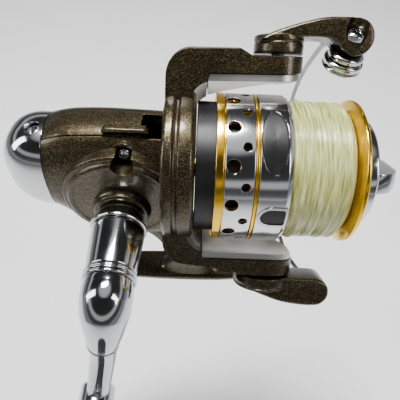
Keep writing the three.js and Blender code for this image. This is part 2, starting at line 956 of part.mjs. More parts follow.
// A patch of the skirt's surface: an outline in x and in arc length, set at an angle.
const FRONT_BAND = { x0: 19.1, x1: 29.3, r: 26.2 };
const skirtPatch = (points, angle, inner, outer) =>
  shared(
    ring(outer, inner, 10, 40, 60),
    plate(points, 5, 40).rotateX(THREE.MathUtils.degToRad(angle)),
  );
const BADGE = { x: 23.5, deg: 24.6, halfX: 4.1, halfArc: 10.6 };
const CLIP = { x: 24, deg: 80, halfX: 3.8, halfArc: 3.4, front: 28.6 };
const oval = ({ x, halfX, halfArc }) =>
  arc(0, 0, 1, 0, 337.5, 15).map(([u, v]) => [x + u * halfX, v * halfArc]);
add(
  spool,
  "skirt_front_band",
  turned(
    [
      [FRONT_BAND.x0, LINER.outer + GAP],
      [FRONT_BAND.x0, FRONT_BAND.r],
      [FRONT_BAND.x1 - 1.4, FRONT_BAND.r],
      [FRONT_BAND.x1, FRONT_BAND.r - 0.8],
      [FRONT_BAND.x1, LINER.outer + GAP],
      [FRONT_BAND.x0, LINER.outer + GAP],
    ],
    36,
  ),
  silver(),
);
const bullet = ({ x, halfX, halfArc, front }) => [
  ...arc(0, 0, 1, 90, 270, 10).map(([u, v]) => [x + u * halfX, v * halfArc]),
  [front - 0.8, -halfArc],
  [front, 0.8 - halfArc],
  [front, halfArc - 0.8],
  [front - 0.8, halfArc],
];
const onBand = (outline, patch, height) =>
  skirtPatch(outline(patch), patch.deg, FRONT_BAND.r + GAP, FRONT_BAND.r + GAP + height);
add(spool, "spool_badge", onBand(oval, BADGE, 0.4), blackPlastic());
add(spool, "line_clip", onBand(bullet, CLIP, 0.6), blackPlastic());
add(
  spool,
  "fishing_line",
  turned(
    [
      [29.6, 14.3],
      [29.6, LINE_R - 0.7],
      [32, LINE_R + 0.2],
      [38, LINE_R - 0.2],
      [45, LINE_R],
      [48.2, LINE_R - 0.6],
      [50.2, 21.6],
      [50.2, 14.3],
      [29.6, 14.3],
    ],
    28,
  ),
  nylonLine(),
);
add(
  spool,
  "spool_lip",
  turned(
    [
      [50.5, 11.5],
      [50.5, 21.4],
      [51.9, LIP_R],
      [52.9, LIP_R],
      [53.4, 24.6],
      [53.4, 21],
      [54.4, 20],
      [54.4, 18.9],
      [52.2, 18.9],
      [52.2, 11.5],
      [50.5, 11.5],
    ],
    32,
  ),
  gold(),
);
["drag_washer_rear", "drag_washer_middle", "drag_washer_front"].forEach((name, i) =>
  add(spool, name, ring(10.6, 2.8, 31 + 3 * i, 33.2 + 3 * i), i === 1 ? steel() : blackPlastic()),
);
add(spool, "click_gear", gear(16, 11, 10.2, 3.2, 23.4, 26.2), brass());
add(shaftGroup, "spool_seat", ring(8, SHAFT_R + GAP, 19.4, 22.8), blackPlastic());

// ---------------------------------------------------------------- drag knob
const dragKnob = new THREE.Group();
shaftGroup.add(dragKnob);
add(
  dragKnob,
  "drag_knob",
  turned(
    [
      [53.4, 2.6],
      [53.4, 17.8],
      [54.8, 18.9],
      [57.9, 18.9],
      [58.6, 18.2],
      [58.9, 16],
      [58.9, 0],
      [57, 0],
      [57, 2.6],
      [53.4, 2.6],
    ],
    28,
  ),
  silver(),
);
const ridge = shared(
  turned([[59.2, 0], [59.2, 13.4], [62, 13.2], [65.5, 12], [68.2, 9.2], [70, 5], [70.4, 0]], 28),
  plate(
    [
      [50, -3.6],
      [61, -3.6],
      [69.6, -3],
      [70.4, -2.2],
      [70.4, 2.2],
      [69.6, 3],
      [61, 3.6],
      [50, 3.6],
    ],
    -20,
    20,
  ),
).rotateX(THREE.MathUtils.degToRad(61.7));
add(dragKnob, "drag_knob_grip", ridge, chrome());
add(dragKnob, "drag_spring", ring(6.4, 3.2, 42, 53), steel());

export default reel;
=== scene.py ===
# %% [markdown]
# A spinning reel: a fishing reel whose spool stands still while a rotor winds line round it.
# The imported model gives every piece its place. Each cell below makes one piece's surface
# from a formula, in millimetres along the main shaft, and then puts it into that frame.

# %% The frame
import json
import math

import bmesh
import bpy
import numpy as np
from mathutils import Matrix, Vector

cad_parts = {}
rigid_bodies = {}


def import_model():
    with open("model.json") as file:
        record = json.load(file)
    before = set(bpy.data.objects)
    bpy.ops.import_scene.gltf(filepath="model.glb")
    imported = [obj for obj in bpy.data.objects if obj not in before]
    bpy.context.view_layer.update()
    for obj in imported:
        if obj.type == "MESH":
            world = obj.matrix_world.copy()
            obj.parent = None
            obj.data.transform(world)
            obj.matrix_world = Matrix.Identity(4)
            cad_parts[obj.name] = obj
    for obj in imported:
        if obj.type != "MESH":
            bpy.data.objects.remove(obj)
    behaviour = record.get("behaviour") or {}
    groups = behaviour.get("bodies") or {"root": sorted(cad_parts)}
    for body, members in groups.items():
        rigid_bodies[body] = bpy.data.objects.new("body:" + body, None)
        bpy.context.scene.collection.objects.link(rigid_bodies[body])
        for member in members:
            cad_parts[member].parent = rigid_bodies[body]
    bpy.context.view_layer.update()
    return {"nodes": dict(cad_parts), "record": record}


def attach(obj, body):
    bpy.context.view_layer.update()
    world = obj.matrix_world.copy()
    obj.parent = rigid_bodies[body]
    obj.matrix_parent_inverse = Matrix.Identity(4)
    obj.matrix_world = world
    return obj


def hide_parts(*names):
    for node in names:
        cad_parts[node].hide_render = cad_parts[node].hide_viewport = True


for leftover in list(bpy.data.objects):
    bpy.data.objects.remove(leftover)
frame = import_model()

# %% [markdown]
# The reel is drawn in "works" millimetres: X is the main shaft's axis, with the shaft at
# Y = Z = 0. The foot's face, where the frame's origin lies, is 74 mm below it. The rotor is
# drawn with its arms straight up and down, and then turned to where it rests.

# %% Places: works and rotor coordinates
MM = 0.001
SHAFT_AT = np.array([8.0, 0.0, 74.0])
ROTOR_REST = math.radians(38)
CRANK_AT = np.array([-25.9, 0.0, -7.0])
ARM_END = np.array([-31.2, -69.0, -43.5])
ROLLER_AT = np.array([49.6, -7.7, 47.0])
ROLLER_AXIS = np.array([-0.12, 0.6, -0.79])


def works(points):
    """Works coordinates stay as they are."""
    return points


def from_rotor(points):
    """Rotor coordinates turned about X by the resting angle into works coordinates."""
    c, s = math.cos(ROTOR_REST), math.sin(ROTOR_REST)
    x, y, z = points[:, 0], points[:, 1], points[:, 2]
    return np.stack([x, y * c + z * s, z * c - y * s], axis=1)


def aimed(points, direction, at):
    """Turns +X onto a direction by the shortest turn, R = I + V + V V / (1 + cos), and moves to at."""
    d = np.asarray(direction, float)
    d = d / np.linalg.norm(d)
    v = np.cross([1.0, 0.0, 0.0], d)
    skew = np.array([[0, -v[2], v[1]], [v[2], 0, -v[0]], [-v[1], v[0], 0]])
    turn = np.eye(3) + skew + skew @ skew / (1 + d[0])
    return points @ turn.T + at


def standing(direction, at):
    """A place: a piece drawn along +X stands on an axis through a point."""
    return lambda points: aimed(points, direction, np.asarray(at, float))


def in_rotor(place):
    """A place in rotor coordinates followed by the turn to rest."""
    return lambda points: from_rotor(place(points))


TO_HANDLE = (0, -1, 0)
on_crank = standing(TO_HANDLE, CRANK_AT)
on_far_side = standing((0, 1, 0), CRANK_AT)
on_knob = standing(TO_HANDLE, ARM_END)
at_roller = standing(ROLLER_AXIS, ROLLER_AT)
on_roller = in_rotor(at_roller)


# %% [markdown]
# Every surface is a grid of points: rows along the piece and columns round it. One helper
# joins a grid into faces, and turns the faces outwards by the sign of the volume they hold.

# %% From a grid of points to a mesh
def grid_faces(rows, columns, close_rows=False):
    """Quads between neighbouring rows of a grid whose columns close on themselves."""
    r = np.arange(rows if close_rows else rows - 1)
    c = np.arange(columns)
    a = (r[:, None] * columns + c[None, :]).ravel()
    b = (r[:, None] * columns + (c[None, :] + 1) % columns).ravel()
    step = ((r[:, None] + 1) % rows * columns + 0 * c[None, :]).ravel()
    up_a = step + np.tile(c, len(r))
    up_b = step + np.tile((c + 1) % columns, len(r))
    return np.stack([a, b, up_b, up_a], axis=1)


def cap_faces(first, columns, centre, flip):
    """A fan of triangles from one ring of points to a centre point."""
    c = np.arange(columns)
    a, b = first + c, first + (c + 1) % columns
    hub = np.full(columns, centre)
    return np.stack([b, a, hub] if flip else [a, b, hub], axis=1)


def signed_volume(points, quads, tris):
    """A sixth of the sum of a . (b x c) over the triangles."""
    halves = [quads[:, [0, 1, 2]], quads[:, [0, 2, 3]]] if len(quads) else []
    every = np.concatenate(halves + ([tris] if len(tris) else []))
    a, b, c = points[every[:, 0]], points[every[:, 1]], points[every[:, 2]]
    return float(np.einsum("ij,ij->i", a, np.cross(b, c)).sum() / 6)


def new_object(name, points, quads, tris=()):
    """A mesh object in millimetres with its faces turned outwards."""
    quads = np.asarray(quads, int).reshape(-1, 4)
    tris = np.asarray(tris, int).reshape(-1, 3)
    if signed_volume(points, quads, tris) < 0:
        quads, tris = quads[:, ::-1], tris[:, ::-1]
    mesh = bpy.data.meshes.new(name)
    mesh.from_pydata(points.tolist(), [], quads.tolist() + tris.tolist())
    mesh.update()
    piece = bpy.data.objects.new(name, mesh)
    bpy.context.scene.collection.objects.link(piece)
    return piece


def end_fans(columns, count):
    """Fans over the first and the last ring, to hubs numbered count and count + 1."""
    first = cap_faces(0, columns, count, True)
    last = cap_faces(count - columns, columns, count + 1, False)
    return np.concatenate([first, last])


def move_points(piece, place):
    """Passes every vertex of a piece through a place."""
    vertices = piece.data.vertices
    points = np.empty(len(vertices) * 3)
    vertices.foreach_get("co", points)
    vertices.foreach_set("co", place(points.reshape(-1, 3)).ravel())


def tube_of(name, rings, place=works):
    """A closed skin over rings of points, shaped (rows, columns, 3), with a fan at each end."""
    rows, columns, _ = rings.shape
    points = np.concatenate([rings.reshape(-1, 3), [rings[0].mean(0)], [rings[-1].mean(0)]])
    ends = end_fans(columns, rows * columns)
    return new_object(name, place(points), grid_faces(rows, columns), ends)


# %% [markdown]
# Most of a reel is turned on a lathe: a profile of distances and radii swept round an axis.
# Real turned edges are never sharp, so each corner of a profile is eased by a short curve,
# which is what catches the light as a thin bright line.

# %% Lathe work
def eased(profile, radius, loop=False, steps=4):
    """Each corner becomes a quadratic curve that leaves and joins its edges a radius away."""
    corners = np.asarray(profile, float)
    if radius == 0:
        return corners
    t = np.linspace(0, 1, steps + 1)[:, None]
    result = []
    for i, corner in enumerate(corners):
        if not loop and i in (0, len(corners) - 1):
            result.append(corner[None])
            continue
        before, after = corners[i - 1], corners[(i + 1) % len(corners)]
        back, ahead = before - corner, after - corner
        reach = min(radius, 0.45 * np.linalg.norm(back), 0.45 * np.linalg.norm(ahead))
        start = corner + back / np.linalg.norm(back) * reach
        end = corner + ahead / np.linalg.norm(ahead) * reach
        result.append((1 - t) ** 2 * start + 2 * t * (1 - t) * corner + t**2 * end)
    return np.concatenate(result)


def turned(name, profile, place=works, columns=144, ease=0.2, loop=False, wave=None):
    """Sweeps (x, r) round X: (x, r cos a, r sin a). wave(x, a) may add to the radius."""
    curve = eased(profile, ease, loop)
    a = np.linspace(0, 2 * math.pi, columns, endpoint=False)
    inner = curve if loop else curve[curve[:, 1] > 1e-6]
    x = np.repeat(inner[:, :1], columns, axis=1)
    r = np.repeat(inner[:, 1:], columns, axis=1)
    if wave is not None:
        r = r + wave(x, a[None, :])
    points = np.stack([x, r * np.cos(a), r * np.sin(a)], axis=2).reshape(-1, 3)
    quads = grid_faces(len(inner), columns, close_rows=loop)
    if loop:
        return new_object(name, place(points), quads)
    hubs = [[curve[0, 0], 0, 0], [curve[-1, 0], 0, 0]]
    points = np.concatenate([points, hubs])
    count = len(inner) * columns
    return new_object(name, place(points), quads, end_fans(columns, count))


def ring(name, outer, inner, x0, x1, place=works, columns=144, ease=0.15):
    """A turned tube with square walls and eased edges."""
    profile = [(x0, inner), (x0, outer), (x1, outer), (x1, inner)]
    return turned(name, profile, place, columns, ease, loop=True)


def disc(name, radius, x0, x1, place=works, columns=96, ease=0.0):
    """A turned solid cylinder."""
    return turned(name, [(x0, 0), (x0, radius), (x1, radius), (x1, 0)], place, columns, ease)


# %% [markdown]
# The cast pieces are built as a founder's pattern is: simple solids joined together, with
# others cut away. Blender's Manifold boolean does that on closed meshes, and the result is
# written back so that no modifier stays on the piece.

# %% Joining and cutting solids
def boxed(name, x0, x1, y0, y1, z0, z1, place=works):
    """A box between two corners."""
    x, y, z = np.meshgrid([x0, x1], [y0, y1], [z0, z1], indexing="ij")
    points = np.stack([x.ravel(), y.ravel(), z.ravel()], axis=1).astype(float)
    quads = [(0, 1, 3, 2), (4, 6, 7, 5), (0, 4, 5, 1), (2, 3, 7, 6), (0, 2, 6, 4), (1, 5, 7, 3)]
    return new_object(name, place(points), quads)


def combine(base, tools, operation):
    """Applies one boolean per tool to base, and removes the tools."""
    for tool in tools:
        step = base.modifiers.new(operation, "BOOLEAN")
        step.operation = operation
        step.solver = "MANIFOLD"
        step.object = tool
    graph = bpy.context.evaluated_depsgraph_get()
    graph.update()
    made = bpy.data.meshes.new_from_object(base.evaluated_get(graph))
    made.name = base.name
    base.modifiers.clear()
    base.data = made
    for tool in tools:
        bpy.data.objects.remove(tool)
    return base


def join(base, *tools):
    """base with the tools added."""
    return combine(base, tools, "UNION")


def cut(base, *tools):
    """base with the tools taken away."""
    return combine(base, tools, "DIFFERENCE")


def shared(base, *tools):
    """What base and the tools have in common."""
    return combine(base, tools, "INTERSECT")


# %% [markdown]
# Finishes come next, because a piece gets its finish as it is put in place. Paint, plate
# and anodising all sit on metal, so they share one shader and differ in how rough, how
# tinted and how marked they are.

# %% Small tools for shader nodes
def new_finish(name, base, metallic, roughness, **sockets):
    """A Principled material with plain values set on its own sockets."""
    material = bpy.data.materials.new(name)
    material.use_nodes = True
    shader = material.node_tree.nodes["Principled BSDF"]
    shader.inputs["Base Color"].default_value = (*base, 1)
    shader.inputs["Metallic"].default_value = metallic
    shader.inputs["Roughness"].default_value = roughness
    for key, value in sockets.items():
        shader.inputs[key.replace("_", " ")].default_value = value
    return material, material.node_tree, shader


def node(tree, kind, **settings):
    """A new node with its properties set."""
    made = tree.nodes.new(kind)
    for key, value in settings.items():
        setattr(made, key, value)
    return made


def noise(tree, scale, detail=3, stretch=(1, 1, 1)):
    """Noise in the piece's own object coordinates, stretched along the axes."""
    place = node(tree, "ShaderNodeTexCoord")
    shape = node(tree, "ShaderNodeMapping")
    shape.inputs["Scale"].default_value = stretch
    cloud = node(tree, "ShaderNodeTexNoise")
    cloud.inputs["Scale"].default_value = scale
    cloud.inputs["Detail"].default_value = detail
    tree.links.new(place.outputs["Object"], shape.inputs["Vector"])
    tree.links.new(shape.outputs["Vector"], cloud.inputs["Vector"])
    return cloud


def ramp(tree, source, stops):
    """A colour ramp over a value: stops are (position, grey or colour)."""
    band = node(tree, "ShaderNodeValToRGB")
    while len(band.color_ramp.elements) < len(stops):
        band.color_ramp.elements.new(0.5)
    for element, (position, colour) in zip(band.color_ramp.elements, stops):
        element.position = position
        rgb = colour if isinstance(colour, tuple) else (colour,) * 3
        element.color = (*rgb, 1)
    tree.links.new(source, band.inputs["Fac"])
    return band.outputs["Color"]


def bump(tree, shader, height, strength, distance, normal=None):
    """Presses a height pattern into the surface's normal."""
    press = node(tree, "ShaderNodeBump")
    press.inputs["Strength"].default_value = strength
    press.inputs["Distance"].default_value = distance
    tree.links.new(height, press.inputs["Height"])
    if normal is not None:
        tree.links.new(normal, press.inputs["Normal"])
    tree.links.new(press.outputs["Normal"], shader.inputs["Normal"])


def round_edges(tree, radius):
    """The Bevel node's normal, which eases every sharp edge by a radius in metres."""
    edge = node(tree, "ShaderNodeBevel", samples=6)
    edge.inputs["Radius"].default_value = radius
    return edge.outputs["Normal"]


# %% [markdown]
# The body, rotor and bail arms have a dark bronze metallic lacquer. Fine gold flakes lie in
# it, most of them dark until the light finds them, under a glossy clear coat. Small Voronoi
# cells give the flakes: each cell has one random value, and only the brightest cells shine.

# %% Bronze metallic lacquer
def bronze_lacquer():
    """Flakes in Voronoi cells an eighth of a millimetre across, a cloudy tint and a clear coat."""
    dark = (0.030, 0.023, 0.015)
    material, tree, shader = new_finish(
        "bronze_lacquer", dark, 0.85, 0.36, Coat_Weight=0.35, Coat_Roughness=0.12
    )
    place = node(tree, "ShaderNodeTexCoord")
    cells = node(tree, "ShaderNodeTexVoronoi")
    cells.inputs["Scale"].default_value = 8000
    tree.links.new(place.outputs["Object"], cells.inputs["Vector"])
    pick = node(tree, "ShaderNodeSeparateColor")
    tree.links.new(cells.outputs["Color"], pick.inputs["Color"])
    flake = ramp(
        tree,
        pick.outputs["Red"],
        [
            (0.0, (0.009, 0.007, 0.004)),
            (0.60, (0.020, 0.015, 0.007)),
            (0.88, (0.070, 0.052, 0.024)),
            (1.0, (0.36, 0.27, 0.13)),
        ],
    )
    cloud = noise(tree, 60, 4)
    tint = ramp(tree, cloud.outputs["Fac"], [(0.3, 0.75), (0.7, 1.15)])
    mixed = node(tree, "ShaderNodeMix", data_type="RGBA", blend_type="MULTIPLY")
    mixed.inputs["Factor"].default_value = 1.0
    tree.links.new(flake, mixed.inputs["A"])
    tree.links.new(tint, mixed.inputs["B"])
    tree.links.new(mixed.outputs["Result"], shader.inputs["Base Color"])
    rough = ramp(tree, pick.outputs["Green"], [(0.0, 0.28), (1.0, 0.48)])
    tree.links.new(rough, shader.inputs["Roughness"])
    bump(tree, shader, pick.outputs["Blue"], 0.12, 0.00004, round_edges(tree, 0.00035))
    return material


# %% [markdown]
# Chrome plate is nearly a mirror. What makes it look real is a faint unevenness: light
# finger haze that dulls it in patches, and a slow ripple under the plate.

# %% Plated, anodised and plain metals
def polished(name, colour, roughness, haze, ripple, ease):
    """A metal whose roughness wanders with a cloud, and whose surface ripples slightly."""
    material, tree, shader = new_finish(name, colour, 1.0, roughness)
    cloud = noise(tree, 90, 5)
    rough = ramp(tree, cloud.outputs["Fac"], [(0.35, roughness), (0.75, roughness + haze)])
    tree.links.new(rough, shader.inputs["Roughness"])
    slow = noise(tree, 160, 2)
    bump(tree, shader, slow.outputs["Fac"], ripple, 0.0002, round_edges(tree, ease))
    return material


def lathe_marked(name, colour, roughness, strength, spread):
    """Turned metal: noise that changes only along X makes fine rings round the axis."""
    material, tree, shader = new_finish(name, colour, 1.0, roughness)
    marks = noise(tree, 260, 6, stretch=(30, 0.6, 0.6))
    rough = ramp(tree, marks.outputs["Fac"], [(0.3, roughness), (0.7, roughness + spread)])
    tree.links.new(rough, shader.inputs["Roughness"])
    bump(tree, shader, marks.outputs["Fac"], strength, 0.00003, round_edges(tree, 0.00015))
    return material


# %% [markdown]
# The cup behind the spool, the badge and the drag washers are black moulded plastic with a
# fine grain. The line is clear nylon with a yellow-green tint that lets some light through.

# %% Plastic and nylon
def moulded(name, colour, roughness, grain=0.15):
    """Plastic with a fine grain and a slightly wandering gloss."""
    material, tree, shader = new_finish(name, colour, 0.0, roughness, Specular_IOR_Level=0.35)
    fine = noise(tree, 2600, 2)
    cloud = noise(tree, 120, 3)
    rough = ramp(tree, cloud.outputs["Fac"], [(0.3, roughness - 0.06), (0.7, roughness + 0.1)])
    tree.links.new(rough, shader.inputs["Roughness"])
    shade = ramp(
        tree,
        cloud.outputs["Fac"],
        [(0.3, tuple(v * 0.8 for v in colour)), (0.7, tuple(min(1.0, v * 1.25) for v in colour))],
    )
    tree.links.new(shade, shader.inputs["Base Color"])
    bump(tree, shader, fine.outputs["Fac"], grain, 0.00005, round_edges(tree, 0.0002))
    return material


def nylon():
    """Pale yellow-green line: streaks along the turns, a soft glow from inside and a wet gloss."""
    material, tree, shader = new_finish(
        "nylon_line",
        (0.60, 0.62, 0.22),
        0.0,
        0.3,
        Subsurface_Weight=0.35,
        Subsurface_Scale=0.002,
        Coat_Weight=0.4,
        Coat_Roughness=0.15,
    )
    streak = noise(tree, 120, 5, stretch=(14, 1, 1))
    shade = ramp(
        tree,
        streak.outputs["Fac"],
        [
            (0.30, (0.17, 0.19, 0.045)),
            (0.45, (0.34, 0.36, 0.11)),
            (0.60, (0.50, 0.52, 0.20)),
            (0.80, (0.86, 0.87, 0.55)),
        ],
    )
    tree.links.new(shade, shader.inputs["Base Color"])
    fine = noise(tree, 420, 4, stretch=(10, 1, 1))
    bump(tree, shader, fine.outputs["Fac"], 0.35, 0.00012)
    return material


BRONZE = bronze_lacquer()
# The arm covers' pale grey is a painted reflection: dark lacquer mirroring bright surroundings at a
# grazing angle, painted in as a lighter colour.
SHEEN_GREY_LACQUER = polished("painted_sheen_lacquer", (0.46, 0.45, 0.43), 0.34, 0.12, 0.04, 0.0003)
CHROME = polished("chrome_plate", (0.50, 0.51, 0.525), 0.07, 0.10, 0.05, 0.0002)
GOLD = lathe_marked("gold_anodised", (0.86, 0.52, 0.035), 0.15, 0.12, 0.08)
SILVER = lathe_marked("silver_aluminium", (0.66, 0.67, 0.69), 0.10, 0.08, 0.05)
STEEL = polished("machined_steel", (0.25, 0.26, 0.27), 0.26, 0.14, 0.08, 0.0001)
BRASS = polished("machined_brass", (0.72, 0.52, 0.22), 0.26, 0.14, 0.08, 0.0001)
BLACK = moulded("black_plastic", (0.006, 0.006, 0.0065), 0.38)
KNOB_BLACK = moulded("knob_plastic", (0.016, 0.016, 0.017), 0.52, 0.3)
NYLON = nylon()


# %% [markdown]
# A finished piece goes from millimetres to metres with its place in its mesh. The frame is
# then told which body it rides on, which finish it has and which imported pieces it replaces.


def finish_piece(piece, body, slot, material, *nodes, crease=32):
    """Scales to metres in the frame, shades by angle, hangs it on its body and hides the CAD nodes it
    replaces; slot is not used.
    """
    mesh = piece.data
    move_points(piece, lambda points: (points + SHAFT_AT) * MM)
    mesh.materials.clear()
    mesh.materials.append(material)
    mesh.shade_smooth()
    mesh.set_sharp_from_angle(angle=math.radians(crease))
    mesh.update()
    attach(piece, body)
    if nodes:
        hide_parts(*nodes)
    print(f"{piece.name}: {len(mesh.polygons)} faces on {body}")
    return piece


# %% [markdown]
# The camera looks down on the handle's side. It comes early, so that every later piece can
# be judged through it.

# %% Camera
CAMERA_AT = np.array([0.0, -103.63, 108.45])
PITCH_DOWN = math.radians(46.3)
YAW, PITCH, ROLL = 0.00925, 0.08327, -0.03980


def turn_about(axis, angle):
    """A rotation matrix about one axis."""
    c, s = math.cos(angle), math.sin(angle)
    i, j = [k for k in range(3) if k != axis]
    m = np.eye(3)
    m[i, i] = m[j, j] = c
    m[i, j], m[j, i] = (s, -s) if axis == 1 else (-s, s)
    return m


e = PITCH_DOWN
look = np.array([[1, 0, 0], [0, math.sin(e), math.cos(e)], [0, -math.cos(e), math.sin(e)]])
view_rows = turn_about(2, ROLL) @ turn_about(0, PITCH) @ turn_about(1, YAW) @ look
camera = bpy.data.objects.new("camera", bpy.data.cameras.new("camera"))
camera.data.lens = 36.955
camera.data.sensor_width = 36
camera.data.clip_start = 0.01
placement = np.eye(4)
placement[:3, :3] = view_rows.T
placement[:3, 3] = (CAMERA_AT + SHAFT_AT) * MM

camera.matrix_world = Matrix(placement.tolist())
bpy.context.scene.collection.objects.link(camera)
bpy.context.scene.camera = camera
print("camera at", [round(v, 4) for v in camera.location])

# %% [markdown]
# The body is an egg-like casting, taller than it is wide. Each cross-section is a
# superellipse, |y/a|^n + |z/b|^n = 1, whose size comes from a short table along the shaft.
# A smooth curve through the table gives as many sections as the surface needs.

# %% Body sections
BODY_REAR, BODY_FRONT, WALL, PARTING_Y, GAP = -50.5, -11.9, 2.2, -7.0, 0.3
BODY_TABLE = np.array(
    [
        [-50.5, 13.8, -17.0, 18.0, 2.4],
        [-47.0, 13.8, -20.5, 19.2, 2.5],
        [-43.0, 13.7, -24.0, 19.9, 2.7],
        [-37.0, 13.6, -28.0, 20.3, 2.9],
        [-31.0, 13.5, -31.0, 20.5, 3.0],
        [-24.0, 13.4, -33.2, 20.5, 3.0],
        [-11.9, 13.2, -34.0, 20.3, 3.0],
    ]
)


def smooth_through(x, knots, values):
    """Cubic Hermite through the knots, with slopes from neighbouring differences."""
    slopes = np.gradient(values, knots)
    i = np.clip(np.searchsorted(knots, x) - 1, 0, len(knots) - 2)
    h = knots[i + 1] - knots[i]
    t = np.clip((x - knots[i]) / h, 0, 1)
    return (
        (2 * t**3 - 3 * t**2 + 1) * values[i]
        + (t**3 - 2 * t**2 + t) * h * slopes[i]
        + (3 * t**2 - 2 * t**3) * values[i + 1]
        + (t**3 - t**2) * h * slopes[i + 1]
    )


def superellipse(half_y, half_z, power, columns):
    """y = a |cos|^(2/n) and z = b |sin|^(2/n), with the signs kept; one row per section."""
    a = np.linspace(0, 2 * math.pi, columns, endpoint=False)[None, :]
    p = 2 / np.asarray(power, float)[:, None]
    y = np.asarray(half_y)[:, None] * np.sign(np.cos(a)) * np.abs(np.cos(a)) ** p
    z = np.asarray(half_z)[:, None] * np.sign(np.sin(a)) * np.abs(np.sin(a)) ** p
    return y, z


def body_skin(name, inset, x0, x1, rows=70, columns=128):
    """The body's outer surface, drawn in by inset all round, from x0 to x1."""
    x = np.linspace(x0, x1, rows)
    known = np.clip(x, BODY_TABLE[0, 0], BODY_TABLE[-1, 0])
    width, low, high, power = (
        smooth_through(known, BODY_TABLE[:, 0], BODY_TABLE[:, k]) for k in (1, 2, 3, 4)
    )
    y, z = superellipse(width - inset, (high - low) / 2 - inset, power, columns)
    z = z + ((high + low) / 2)[:, None]
    rings = np.stack([np.repeat(x[:, None], columns, axis=1), y, z], axis=2)
    return tube_of(name, rings)


# %% [markdown]
# The leg sweeps down and forward from the body to the foot. It is a stack of rounded
# sections whose front and rear edges follow two curves, flaring where it meets the foot.

# %% Leg and foot
LEG_REAR = np.array(
    [
        [-71.6, -21.0], [-70.0, -17.0], [-66.0, -13.2], [-60.0, -12.0],
        [-50.0, -14.5], [-40.0, -20.0], [-32.0, -27.0], [-22.0, -33.5],
    ]
)
LEG_FRONT = np.array(
    [
        [-71.6, 17.0], [-70.0, 13.0], [-66.0, 7.4], [-61.5, 4.0],
        [-53.0, 0.0], [-44.0, -6.0], [-38.5, -12.6], [-22.0, -16.0],
    ]
)
LEG_HALF = np.array([[-71.6, 6.6], [-68.0, 5.4], [-60.0, 4.6], [-40.0, 4.6], [-22.0, 5.2]])
FOOT_LENGTH, FOOT_WIDTH, FOOT_THICK, FOOT_TIP = 74.0, 15.0, 4.6, 2.2


def leg():
    """Sections at each height z: centre and half length in x from the edges, half width from LEG_HALF."""
    z = np.linspace(-71.4, -24.0, 60)
    rear = smooth_through(z, LEG_REAR[:, 0], LEG_REAR[:, 1])
    front = smooth_through(z, LEG_FRONT[:, 0], LEG_FRONT[:, 1])
    half = smooth_through(z, LEG_HALF[:, 0], LEG_HALF[:, 1])
    y, x = superellipse(half, (front - rear) / 2, np.full(len(z), 2.7), 64)
    x = x + ((front + rear) / 2)[:, None]
    return tube_of("leg", np.stack([x, y, np.repeat(z[:, None], 64, axis=1)], axis=2))


def foot():
    """A crowned plate: width and thickness fall off towards both tips, the underside stays flat."""
    along = np.sin(np.linspace(-math.pi / 2, math.pi / 2, 61))
    taper = np.sqrt(np.clip(1 - np.abs(along) ** 6, 0, 1))
    width = FOOT_WIDTH / 2 * (0.28 + 0.72 * taper) * (1 - 0.2 * along**2)
    thick = FOOT_TIP + (FOOT_THICK - FOOT_TIP) * (1 - along**2) ** 0.6
    arch = np.linspace(0, math.pi, 33)
    side = np.concatenate([np.cos(arch) * 1.0, np.linspace(-0.94, 0.94, 15)])
    up = np.concatenate([0.42 + 0.58 * np.sin(arch) ** 0.55, np.zeros(15)])
    x = np.repeat((along * FOOT_LENGTH / 2 - 8)[:, None], len(side), axis=1)
    y = width[:, None] * side[None, :]
    z = thick[:, None] * up[None, :] - 74
    return tube_of("foot", np.stack([x, y, z], axis=2))


# %% [markdown]
# The housing joins the far half of the egg, the round neck behind the rotor, the leg and
# the foot, as the casting does. The gear room, the bores and the slots are then cut out.

# %% Housing
COVER_SCREWS = [(-23.8, 13.7, 8.2), (-21.8, -24.6, 8.2)]
THROAT_R, THROAT_HALF = 17.8, 9.6


def gear_room():
    """The hollow of shell and neck: a skin drawn in by WALL, and a throat with flat sides."""
    room = body_skin("room", WALL, BODY_REAR - 1, BODY_FRONT - 1, 40, 96)
    throat = disc("throat", THROAT_R, BODY_FRONT - 8, -11.6)
    sides = boxed("side_walls", -30, 0, -THROAT_HALF, THROAT_HALF, -30, 30)
    return join(room, shared(throat, sides))


housing = shared(
    body_skin("reel_body_shell", 0, BODY_REAR, BODY_FRONT),
    boxed("far_half", -70, 20, PARTING_Y + GAP / 2, 40, -60, 40),
)
NECK_REAR = BODY_FRONT - 0.5
NECK = [(NECK_REAR, 0), (NECK_REAR, 21), (-9.6, 21), (-9.6, 12.6), (-4.4, 12.6), (-4.4, 0)]
neck = turned("neck", NECK, ease=0.6)
far_boss = disc("far_boss", 9, 9, 15.2, on_far_side, ease=0.6)
housing = join(housing, neck, leg(), foot(), far_boss)
housing = cut(
    housing,
    gear_room(),
    disc("collar_bore", 10.3, -12.6, -3.4),
    disc("far_bore", 6.6, 9, 20, on_far_side),
    boxed("neck_start", BODY_FRONT - 4, BODY_FRONT + GAP, -30, PARTING_Y + GAP / 2, -30, 30),
    boxed("trip_pocket", -18.6, BODY_FRONT + 0.9, -9, 3, 15, 30),
    boxed("switch_slot", -27.5, -22, -6.3, -5.2, 15, 30),
)
finish_piece(housing, "body", "bronze_paint", BRONZE, "reel_body")

# %% [markdown]
# The side cover closes the gear room on the handle's side. Two raised steps run round a
# boss like ripples, centred a little above the handle's axis, and two screws sit in deep
# round wells. A small bevel in the finish softens the cut edges.

